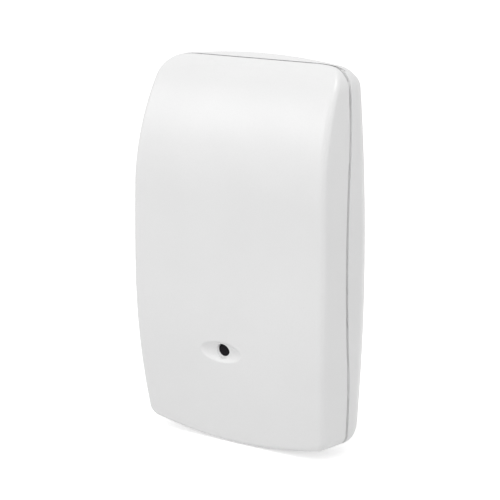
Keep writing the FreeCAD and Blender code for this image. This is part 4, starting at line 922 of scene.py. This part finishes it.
def makeHousingFinish(side):
    look = housingLook
    tones = [linear(tone) for tone in look[side]]
    material, tree, spot = startMaterial("moulded ABS, off-white, " + side)
    share = cloud(tree, spot, look["patch"])
    fine = cloud(tree, spot, look["spark"], 4.0)
    pores = addNode(tree, "ShaderNodeTexVoronoi", {"Vector": spot, "Scale": 1000 / look["pore"]})
    height = calc(tree, "ADD", fine, calc(tree, "MULTIPLY", pores.outputs["Distance"],
                                          look["poreShare"]))
    colour = mixColour(tree, ranged(tree, share, 0.0, 1.0), tones[0], tones[1])
    speck = mixColour(tree, ranged(tree, fine, 0.0, look["speckShare"], *look["speckFrom"]),
                      colour, tones[2])
    shown(tree, addNode(tree, "ShaderNodeBsdfPrincipled", {
        "Base Color": speck, "Roughness": ranged(tree, share, *look["rough"]),
        "Normal": bumped(tree, height, look["depth"])}).outputs[0])
    return material


# pressed black felt: no highlight, and fibres that catch a little light
feltLook = {"tones": ("151316", "262327"), "fibre": 0.16, "stretch": (1.0, 1.0, 0.35),
            "rough": 0.95, "shine": 0.15, "depth": 0.05}


def makeFeltFinish():
    look = feltLook
    tones = [linear(tone) for tone in look["tones"]]
    material, tree, spot = startMaterial("acoustic felt, black")
    drawn = addNode(tree, "ShaderNodeMapping", {"Vector": spot, "Scale": look["stretch"]})
    fibres = cloud(tree, drawn.outputs[0], look["fibre"], 5.0)
    shown(tree, addNode(tree, "ShaderNodeBsdfPrincipled", {
        "Base Color": mixColour(tree, ranged(tree, fibres, 0.0, 1.0), *tones),
        "Roughness": look["rough"], "Specular IOR Level": look["shine"],
        "Normal": bumped(tree, fibres, look["depth"])}).outputs[0])
    return material


# board picture in millimetres: frames are (x, z, half width, half height), and pads have
# their pitch as well, where 0 is one long strip
boardPrint = {
    "frames": [(-18.0, 4.0, 3.6, 3.6), (13.0, 20.0, 7.4, 4.9), (13.0, -9.0, 5.9, 3.6),
               (-11.5, -13.0, 3.8, 3.8), (-11.5, -4.8, 3.8, 3.8), (0.0, 12.6, 6.4, 3.2),
               (-20.2, -9.0, 3.8, 3.8), (16.0, 3.0, 3.0, 1.8)],
    "pads": [(0.0, 8.7, 6.1, 0.7, 1.27), (0.0, -0.7, 6.1, 0.7, 1.27), (-18.0, 17.7, 2.8, 0.7, 2.3),
             (-18.0, 12.3, 2.8, 0.7, 2.3), (8.75, 26.0, 8.9, 0.45, 0.0),
             (8.75, 28.2, 8.9, 0.45, 0.0)],
    "frameHalf": 0.09, "padHalf": 0.30, "trackHalf": 0.10, "trackPitch": 1.27, "viaHalf": 0.32,
    "viaPitch": 3.81, "zone": 11.0, "zones": (0.47, 0.53), "patch": 7.0, "weave": 0.5,
    "weaveShare": 0.25, "relief": 0.03, "rough": (0.24, 0.34), "mask": ("17603A", "125231"),
    "copper": "2E8450", "ink": "E6E8E2", "resin": "A99A62",
}


def boxGap(tree, axes, x, z):
    across = calc(tree, "ABSOLUTE", calc(tree, "SUBTRACT", axes[0], x * mm))
    up = calc(tree, "ABSOLUTE", calc(tree, "SUBTRACT", axes[2], z * mm))
    return across, up


def boxMask(tree, axes, x, z, halfX, halfZ):
    across, up = boxGap(tree, axes, x, z)
    return calc(tree, "MULTIPLY", calc(tree, "LESS_THAN", across, halfX * mm),
                calc(tree, "LESS_THAN", up, halfZ * mm))


def frameMask(tree, axes, x, z, halfX, halfZ):
    # a printed line round a part
    across, up = boxGap(tree, axes, x, z)
    off = calc(tree, "MAXIMUM", calc(tree, "SUBTRACT", across, halfX * mm),
               calc(tree, "SUBTRACT", up, halfZ * mm))
    return calc(tree, "LESS_THAN", calc(tree, "ABSOLUTE", off), boardPrint["frameHalf"] * mm)


def linesOf(tree, value, pitch, half):
    # 1 within half of every multiple of the pitch
    step = calc(tree, "PINGPONG", value, pitch / 2 * mm)
    return calc(tree, "LESS_THAN", step, half * mm)


def makeBoardFinish():
    # glossy green solder mask, paler over copper tracks, tinned pads, white print, resin edges
    look = boardPrint
    material, tree, spot = startMaterial("circuit board, green solder mask")
    axes = addNode(tree, "ShaderNodeSeparateXYZ", {0: spot}).outputs
    share = cloud(tree, spot, look["patch"])
    weave = cloud(tree, spot, look["weave"])
    # tracks run across in some zones, up in others, and leave a bare strip between them
    zone = cloud(tree, spot, look["zone"], 0.0)
    rows = calc(tree, "MULTIPLY", linesOf(tree, axes[2], look["trackPitch"], look["trackHalf"]),
                calc(tree, "GREATER_THAN", zone, look["zones"][1]))
    columns = calc(tree, "MULTIPLY", linesOf(tree, axes[0], look["trackPitch"], look["trackHalf"]),
                   calc(tree, "LESS_THAN", zone, look["zones"][0]))
    dots = calc(tree, "MULTIPLY", linesOf(tree, axes[0], look["viaPitch"], look["viaHalf"]),
                linesOf(tree, axes[2], look["viaPitch"], look["viaHalf"]))
    copper = calc(tree, "MAXIMUM", calc(tree, "MAXIMUM", rows, columns), dots)
    mask = mixColour(tree, ranged(tree, share, 0.0, 1.0), *[linear(tone) for tone in look["mask"]])
    colour = mixColour(tree, copper, mask, linear(look["copper"]))
    printed = 0.0
    for frameBox in look["frames"]:
        printed = calc(tree, "MAXIMUM", frameMask(tree, axes, *frameBox), printed)
    colour = mixColour(tree, printed, colour, linear(look["ink"]))
    pads = 0.0
    for x, z, halfX, halfZ, pitch in look["pads"]:
        box = boxMask(tree, axes, x, z, halfX, halfZ)
        if pitch:
            offset = pitch / 2 if round(2 * halfX / pitch) % 2 == 0 else 0.0
            across = calc(tree, "ADD", axes[0], (100 * pitch + offset - x) * mm)  # above zero
            box = calc(tree, "MULTIPLY", box, linesOf(tree, across, pitch, look["padHalf"]))
        pads = calc(tree, "MAXIMUM", box, pads)
    normal = addNode(tree, "ShaderNodeNewGeometry").outputs["Normal"]
    facing = addNode(tree, "ShaderNodeSeparateXYZ", {0: normal}).outputs[1]
    edge = calc(tree, "LESS_THAN", calc(tree, "ABSOLUTE", facing), 0.5)
    colour = mixColour(tree, edge, colour, linear(look["resin"]))
    height = calc(tree, "ADD", copper, calc(tree, "MULTIPLY", weave, look["weaveShare"]))
    top = addNode(tree, "ShaderNodeBsdfPrincipled", {
        "Base Color": colour, "Roughness": ranged(tree, share, *look["rough"]),
        "Normal": bumped(tree, height, look["relief"])})
    bare = calc(tree, "MULTIPLY", pads, calc(tree, "SUBTRACT", 1.0, edge))
    shown(tree, addNode(tree, "ShaderNodeMixShader", {
        0: bare, 1: top.outputs[0], 2: shaderOf(tree, spot, "tin")}).outputs[0])
    return material


def dress(shape, material):
    shape.data.materials.clear()
    shape.data.materials.append(material)


finishesMade = {}


def finishOf(key):
    # each finish is made once, when something first needs it
    if key not in finishesMade:
        finishesMade[key] = makeFinish(key)
    return finishesMade[key]


# parts of the board that repeat or follow a rule, laid out in rows by one node group
rowInputs = [("Part", "Object"), ("Count", "Int"), ("Start", "Vector"), ("Pitch", "Vector"),
             ("Rows", "Int"), ("Row Pitch", "Vector"), ("Turn", "Vector"), ("Seed", "Int"),
             ("Finish", "Material")]


def makeRowGroup():
    group = bpy.data.node_groups.new("rows of parts", "GeometryNodeTree")
    names = {}
    for name, kind in rowInputs:
        socket = group.interface.new_socket(name, in_out="INPUT",
                                            socket_type="NodeSocket" + kind)
        names[name] = socket.identifier
    group.interface.new_socket("Geometry", in_out="OUTPUT", socket_type="NodeSocketGeometry")
    given = addNode(group, "NodeGroupInput").outputs
    line = addNode(group, "GeometryNodeMeshLine", {
        "Count": given["Count"], "Start Location": given["Start"], "Offset": given["Pitch"]},
        mode="OFFSET")
    rows = addNode(group, "GeometryNodeMeshLine", {
        "Count": given["Rows"], "Offset": given["Row Pitch"]}, mode="OFFSET")
    lines = addNode(group, "GeometryNodeInstanceOnPoints", {
        "Points": rows.outputs[0], "Instance": line.outputs[0]})
    spots = addNode(group, "GeometryNodeRealizeInstances", {"Geometry": lines.outputs[0]})
    # each part turns a little by chance, up to Turn either way
    back = addNode(group, "ShaderNodeVectorMath", {0: given["Turn"], "Scale": -1.0},
                   operation="SCALE")
    turn = addNode(group, "FunctionNodeRandomValue", {
        0: back.outputs[0], 1: given["Turn"], "Seed": given["Seed"]}, data_type="FLOAT_VECTOR")
    part = addNode(group, "GeometryNodeObjectInfo", {"Object": given["Part"]})
    parts = addNode(group, "GeometryNodeInstanceOnPoints", {
        "Points": spots.outputs[0], "Instance": part.outputs["Geometry"],
        "Rotation": turn.outputs[0]})
    whole = addNode(group, "GeometryNodeRealizeInstances", {"Geometry": parts.outputs[0]})
    dressed = addNode(group, "GeometryNodeSetMaterial", {
        "Geometry": whole.outputs[0], "Material": given["Finish"]})
    addNode(group, "NodeGroupOutput", {"Geometry": dressed.outputs[0]})
    return group, names


rowGroup, rowNames = makeRowGroup()


def makeRows(name, part, key, start, count=1, pitch=(0, 0, 0), rows=1, rowPitch=(0, 0, 0),
             turn=0.0, seed=7):
    # places are (x, ahead, z) in millimetres; turn is the largest chance turn, in degrees
    row = linked(name, bpy.data.meshes.new(name))
    modifier = row.modifiers.new("rows", "NODES")
    modifier.node_group = rowGroup
    values = {"Part": part, "Count": count, "Start": point(*start), "Pitch": point(*pitch),
              "Rows": rows, "Row Pitch": point(*rowPitch),
              "Turn": (0.0, math.radians(turn), 0.0), "Seed": seed, "Finish": finishOf(key)}
    for label, value in values.items():
        modifier[rowNames[label]] = value
    row.update_tag()
    baked(row)
    bpy.data.objects.remove(part)
    print(name + ":", len(row.data.polygons), "faces")
    return row


def settle(shape, node):
    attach(shape, "base")
    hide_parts(node)


def soften(shape, width, segments=2):
    # rounds every edge that turns by more than 25 degrees
    work = bmesh.new()
    work.from_mesh(shape.data)
    edges = [e for e in work.edges
             if len(e.link_faces) == 2 and e.calc_face_angle(0) > math.radians(25)]
    bmesh.ops.bevel(work, geom=edges, offset=width * mm, segments=segments, profile=0.5,
                    affect="EDGES", clamp_overlap=True)
    work.to_mesh(shape.data)
    work.free()
    return smooth(shape, "soft")


def frustum(name, length, width, height, slope=0.0, lift=0.0):
    # a block round the origin that draws in by slope towards its front
    corners = ((-1, -1), (1, -1), (1, 1), (-1, 1))
    return ringMesh(name, [
        [point(x * (length / 2 - inset), ahead, z * (width / 2 - inset)) for x, z in corners]
        for ahead, inset in ((lift, 0.0), (lift + height, slope))])


def lathe(name, profile, sides):
    # turned about the ahead axis; the profile is a list of (radius, ahead)
    angles = [2 * math.pi * k / sides for k in range(sides)]
    return ringMesh(name, [
        [point(radius * math.cos(angle), ahead, radius * math.sin(angle)) for angle in angles]
        for radius, ahead in profile])


def joined(name, shapes):
    # several closed shapes as one mesh
    points, faces = [], []
    for shape in shapes:
        first = len(points)
        points += [tuple(v.co) for v in shape.data.vertices]
        faces += [[first + v for v in p.vertices] for p in shape.data.polygons]
        bpy.data.objects.remove(shape)
    return meshObject(name, points, faces)


lead = {"thick": 0.25, "high": 1.0, "reach": 1.35, "foot": 0.8, "into": 0.15,
        "knee": (0.08, 0.12), "shoulder": (0.22, 0.34)}  # inner and outer side of each bend


def leadPair(width, chipWidth):
    # a gull-wing lead on each side of a package, as one part
    half, thick, high = chipWidth / 2, lead["thick"], lead["high"]
    knee, toe = half + lead["reach"] - lead["foot"], half + lead["reach"]
    side = [(toe, 0), (knee - lead["knee"][0], 0), (half + lead["shoulder"][0], high),
            (half - lead["into"], high), (half - lead["into"], high + thick),
            (half + lead["shoulder"][1], high + thick), (knee + lead["knee"][1], thick),
            (toe, thick)]
    return joined("leads", [ringMesh("lead", [
        [point(x, ahead, sign * z) for z, ahead in side] for x in (-width / 2, width / 2)])
        for sign in (1, -1)])


boardFront = 8.2  # the board's front face, ahead of the wall
chips = [
    {"name": "microcontroller", "x": 0.0, "z": 4.0, "length": 12.8, "width": 7.5, "height": 2.4,
     "leads": 10, "pitch": 1.27, "lead": 0.42, "turn": 0},
    {"name": "amplifier_chip", "x": 0.0, "z": -11.0, "length": 8.65, "width": 3.9, "height": 1.6,
     "leads": 7, "pitch": 1.27, "lead": 0.42, "turn": 90},
    {"name": "voltage_regulator", "x": -18.0, "z": 15.0, "length": 6.5, "width": 3.5,
     "height": 1.7, "leads": 3, "pitch": 2.3, "lead": 0.75, "turn": 0},
]
# slope of a package's sides, its height over the board, and the dot that marks one corner
package = {"slope": 0.25, "lift": 0.1, "soft": 0.12, "dot": (0.45, 0.5), "dotDepth": 0.08,
           "dotPast": 0.2, "dotIn": 1.1, "dotSides": 20}


def makeChip(chip):
    length, width, height = chip["length"], chip["width"], chip["height"]
    body = soften(frustum(chip["name"] + "Body", length, width, height, package["slope"],
                          package["lift"]), package["soft"])
    top, (narrow, broad) = height + package["lift"], package["dot"]
    dot = lathe("dot", [(narrow, top - package["dotDepth"]), (broad, top + package["dotPast"])],
                package["dotSides"])
    corner = point(package["dotIn"] - length / 2, 0, package["dotIn"] - width / 2)
    dot.data.transform(Matrix.Translation(corner))
    carve(body, dot, "DIFFERENCE")
    start = -chip["pitch"] * (chip["leads"] - 1) / 2
    leads = makeRows(chip["name"] + "Leads", leadPair(chip["lead"], width), "tin",
                     (start, 0, 0), chip["leads"], (chip["pitch"], 0, 0))
    home = Matrix.Translation(point(chip["x"], boardFront, chip["z"])) @ Matrix.Rotation(
        math.radians(chip["turn"]), 4, "Y")
    for shape in (body, leads):
        shape.data.transform(home)
        smooth(shape, "crisp")
        settle(shape, chip["name"])
    dress(body, finishOf("chipEpoxy"))


for chip in chips:
    makeChip(chip)

chipParts = {
    "resistors": {"node": "chip_resistors", "slot": "resistor_ceramic", "body": "resistorFilm",
                  "size": (2.0, 1.25, 0.5), "start": (16.0, boardFront, 26.0), "count": 6,
                  "pitch": (-2.9, 0, 0), "rows": 2, "rowPitch": (0, 0, 2.2), "upright": False},
    "ceramics": {"node": "chip_capacitors", "slot": "capacitor_ceramic", "body": "ceramic",
                 "size": (2.0, 1.25, 0.95), "start": (-2.5, boardFront, -16.8), "count": 3,
                 "pitch": (2.5, 0, 0), "rows": 1, "rowPitch": (0, 0, 0), "upright": True},
}
# solder ends: their length, how much shorter and lower the body is, edge rounds, chance turn
solderEnd = {"length": 0.42, "short": 0.7, "lower": 0.02, "bodySoft": 0.05, "soft": 0.06,
             "turn": 2.0}


def makeChipParts(name, kind):
    length, width, height = kind["size"]
    body = soften(frustum("body", length - solderEnd["short"], width,
                          height - solderEnd["lower"]), solderEnd["bodySoft"], 1)
    ends = []
    for side in (-1, 1):
        end = frustum("end", solderEnd["length"], width, height)
        middle = length / 2 - solderEnd["length"] / 2
        end.data.transform(Matrix.Translation(point(side * middle, 0, 0)))
        ends.append(soften(end, solderEnd["soft"], 1))
    ends = joined("ends", ends)
    for part, label, key in ((body, "Bodies", kind["body"]), (ends, "Ends", "tin")):
        if kind["upright"]:
            part.data.transform(Matrix.Rotation(math.radians(90), 4, "Y"))
        row = makeRows(name + label, part, key, kind["start"], kind["count"], kind["pitch"],
                       kind["rows"], kind["rowPitch"], solderEnd["turn"])
        smooth(row, "round")
        settle(row, kind["node"])


for name, kind in chipParts.items():
    makeChipParts(name, kind)

# three screws in each terminal block, each left at its own turn
screw = {"radius": 1.3, "back": 12.4, "front": 14.6, "slot": 0.49, "slotDepth": 0.8,
         "x": -16.17, "z": -32.05, "pitch": 5.08, "blockPitch": 32.34, "turn": 55, "seed": 3,
         "sides": 24}


def makeTerminalScrews():
    r, back, front, slot = (screw[key] for key in ("radius", "back", "front", "slot"))
    head = lathe("head", [(r * 0.9, back), (r, back + 0.1), (r, front - 0.25),
                          (r - 0.08, front - 0.08), (r - 0.28, front)], screw["sides"])
    carve(head, boxMesh("slot", (-slot / 2, front - screw["slotDepth"], -r - 1),
                        (slot / 2, front + 1, r + 1)), "DIFFERENCE")
    screws = makeRows("terminalScrews", head, "zincSteel",
                      (screw["x"] - screw["pitch"], 0, screw["z"]), 3, (screw["pitch"], 0, 0), 2,
                      (screw["blockPitch"], 0, 0), screw["turn"], screw["seed"])
    smooth(screws, "crisp")
    settle(screws, "terminal_screws")


# two capacitors: cans with a crimp and a rolled top on feet with two cut corners
can = {"x": -11.5, "z": -13.0, "pitch": 8.2, "radius": 3.15, "foot": 1.0, "top": 6.4,
       "base": 6.6, "cut": 1.6, "footSoft": 0.12, "sides": 28}


def makeCans():
    r, top, sides = can["radius"], can["top"], can["sides"]
    drum = lathe("can", [(r - 0.2, 0.6), (r, 0.8), (r, 1.5), (r - 0.28, 1.75), (r - 0.28, 1.95),
                         (r, 2.2), (r, top - 0.35), (r - 0.12, top - 0.1), (r - 0.4, top)], sides)
    carve(drum, lathe("sunkTop", [(r - 1.0, top - 0.05), (r - 0.95, top + 0.3)], sides),
          "DIFFERENCE")
    half, cut = can["base"] / 2, can["cut"]
    corners = [(-half, -half), (half, -half), (half, half - cut), (half - cut, half),
               (cut - half, half), (-half, half - cut)]
    foot = soften(ringMesh("foot", [
        [point(x, ahead, z) for x, z in corners] for ahead in (0.0, can["foot"])]),
        can["footSoft"], 1)
    for part, label, key in ((drum, "Cans", "aluminium"), (foot, "Feet", "blackPlastic")):
        row = makeRows("capacitor" + label, part, key, (can["x"], boardFront, can["z"]), 2,
                       (0, 0, can["pitch"]))
        smooth(row, "round")
        settle(row, "filter_capacitors")


felt = {"x": -1.9, "z": -24.85, "cadZ": -24.3, "sunk": 2.7, "radius": 4.2, "thick": 0.6,
        "domeRadius": 1.89, "dome": 0.72, "sides": 40}


def makeFelt():
    # the disc behind the port, which bulges a little way into the bore
    r, t, d, h = (felt[key] for key in ("radius", "thick", "domeRadius", "dome"))
    disc = lathe("microphoneFelt", [
        (r - 0.1, 0.0), (r, 0.1), (r, t - 0.08), (r - 0.1, t), (d, t), (d, t + h * 0.5),
        (d * 0.93, t + h * 0.8), (d * 0.75, t + h * 0.95), (d * 0.4, t + h)], felt["sides"])
    back = float(frontAhead(felt["cadZ"])) - felt["sunk"]
    disc.data.transform(Matrix.Translation(point(felt["x"], back, felt["z"])))
    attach(smooth(disc, "round"), "cover")
    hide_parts("microphone_felt")
    return disc


makeTerminalScrews()
makeCans()
feltDisc = makeFelt()

# every node wears its own finish, also those that a piece of the scene replaces
nodeFinishes = {
    "zincSteel": ["board_screws", "terminal_screws"],
    "terminalPlastic": ["terminal_block_left", "terminal_block_right"],
    "nickelBrass": ["terminal_clamps"], "blackPlastic": ["tamper_switch"],
    "ivoryPlastic": ["tamper_plunger"], "switchPlastic": ["range_switch"],
    "sliderPlastic": ["range_slider_" + str(k) for k in (1, 2, 3, 4)],
    "bootRubber": ["microphone_boot"], "aluminium": ["microphone_capsule", "filter_capacitors"],
    "relayPlastic": ["alarm_relay"], "crystalSteel": ["timing_crystal"],
    "capPlastic": ["jumper_cap"], "resistorFilm": ["chip_resistors"],
    "ceramic": ["chip_capacitors"],
    "chipEpoxy": ["microcontroller", "amplifier_chip", "voltage_regulator"],
}
for key, names in nodeFinishes.items():
    for name in names:
        dress(nodes[name], finishOf(key))

for shell, side, name in ((coverShell, "cover", "front_cover"), (baseShell, "base", "rear_base")):
    housing = makeHousingFinish(side)
    dress(shell, housing)
    dress(nodes[name], housing)
feltFinish = makeFeltFinish()
dress(feltDisc, feltFinish)
dress(nodes["microphone_felt"], feltFinish)
dress(nodes["circuit_board"], makeBoardFinish())

# where the second finish of a two-tone node lies, in millimetres
split = {"lens": 0.5, "pins": 2.52, "diodeX": 12.6, "tab": 2.22,
         "coilX": -20.2, "coilZ": -9.0, "rim": (2.52, 2.95)}


def lampMask(tree, axes):
    return calc(tree, "GREATER_THAN", axes[1], -(boardFront + split["lens"]) * mm)


def pinMask(tree, axes):
    return calc(tree, "LESS_THAN", axes[1], -(boardFront + split["pins"]) * mm)


def tabMask(tree, axes):
    # the ends of both diodes, which lie left and right of the middle
    off = calc(tree, "SUBTRACT", calc(tree, "ABSOLUTE", axes[0]), split["diodeX"] * mm)
    return calc(tree, "GREATER_THAN", calc(tree, "ABSOLUTE", off), split["tab"] * mm)


def windingMask(tree, axes):
    # a ring round the middle of the coil
    across, up = boxGap(tree, axes, split["coilX"], split["coilZ"])
    far = calc(tree, "SQRT", calc(tree, "ADD", calc(tree, "POWER", across, 2.0),
                                  calc(tree, "POWER", up, 2.0)))
    inner, outer = split["rim"]
    return calc(tree, "MULTIPLY", calc(tree, "GREATER_THAN", far, inner * mm),
                calc(tree, "LESS_THAN", far, outer * mm))


twoTone = {
    "alarm_lamp": ("lamp, red lens on white", "redLens", "lampBase", lampMask),
    "trouble_lamp": ("lamp, amber lens on white", "amberLens", "lampBase", lampMask),
    "jumper_header": ("header, gold pins", "blackPlastic", "gold", pinMask),
    "surge_diodes": ("diode, tinned tabs", "chipEpoxy", "tin", tabMask),
    "power_inductor": ("ferrite with a metal rim", "ferrite", "tin", windingMask),
}
for name, parts in twoTone.items():
    dress(nodes[name], makeSplitFinish(*parts))
print("finishes set on", len(nodes), "nodes")
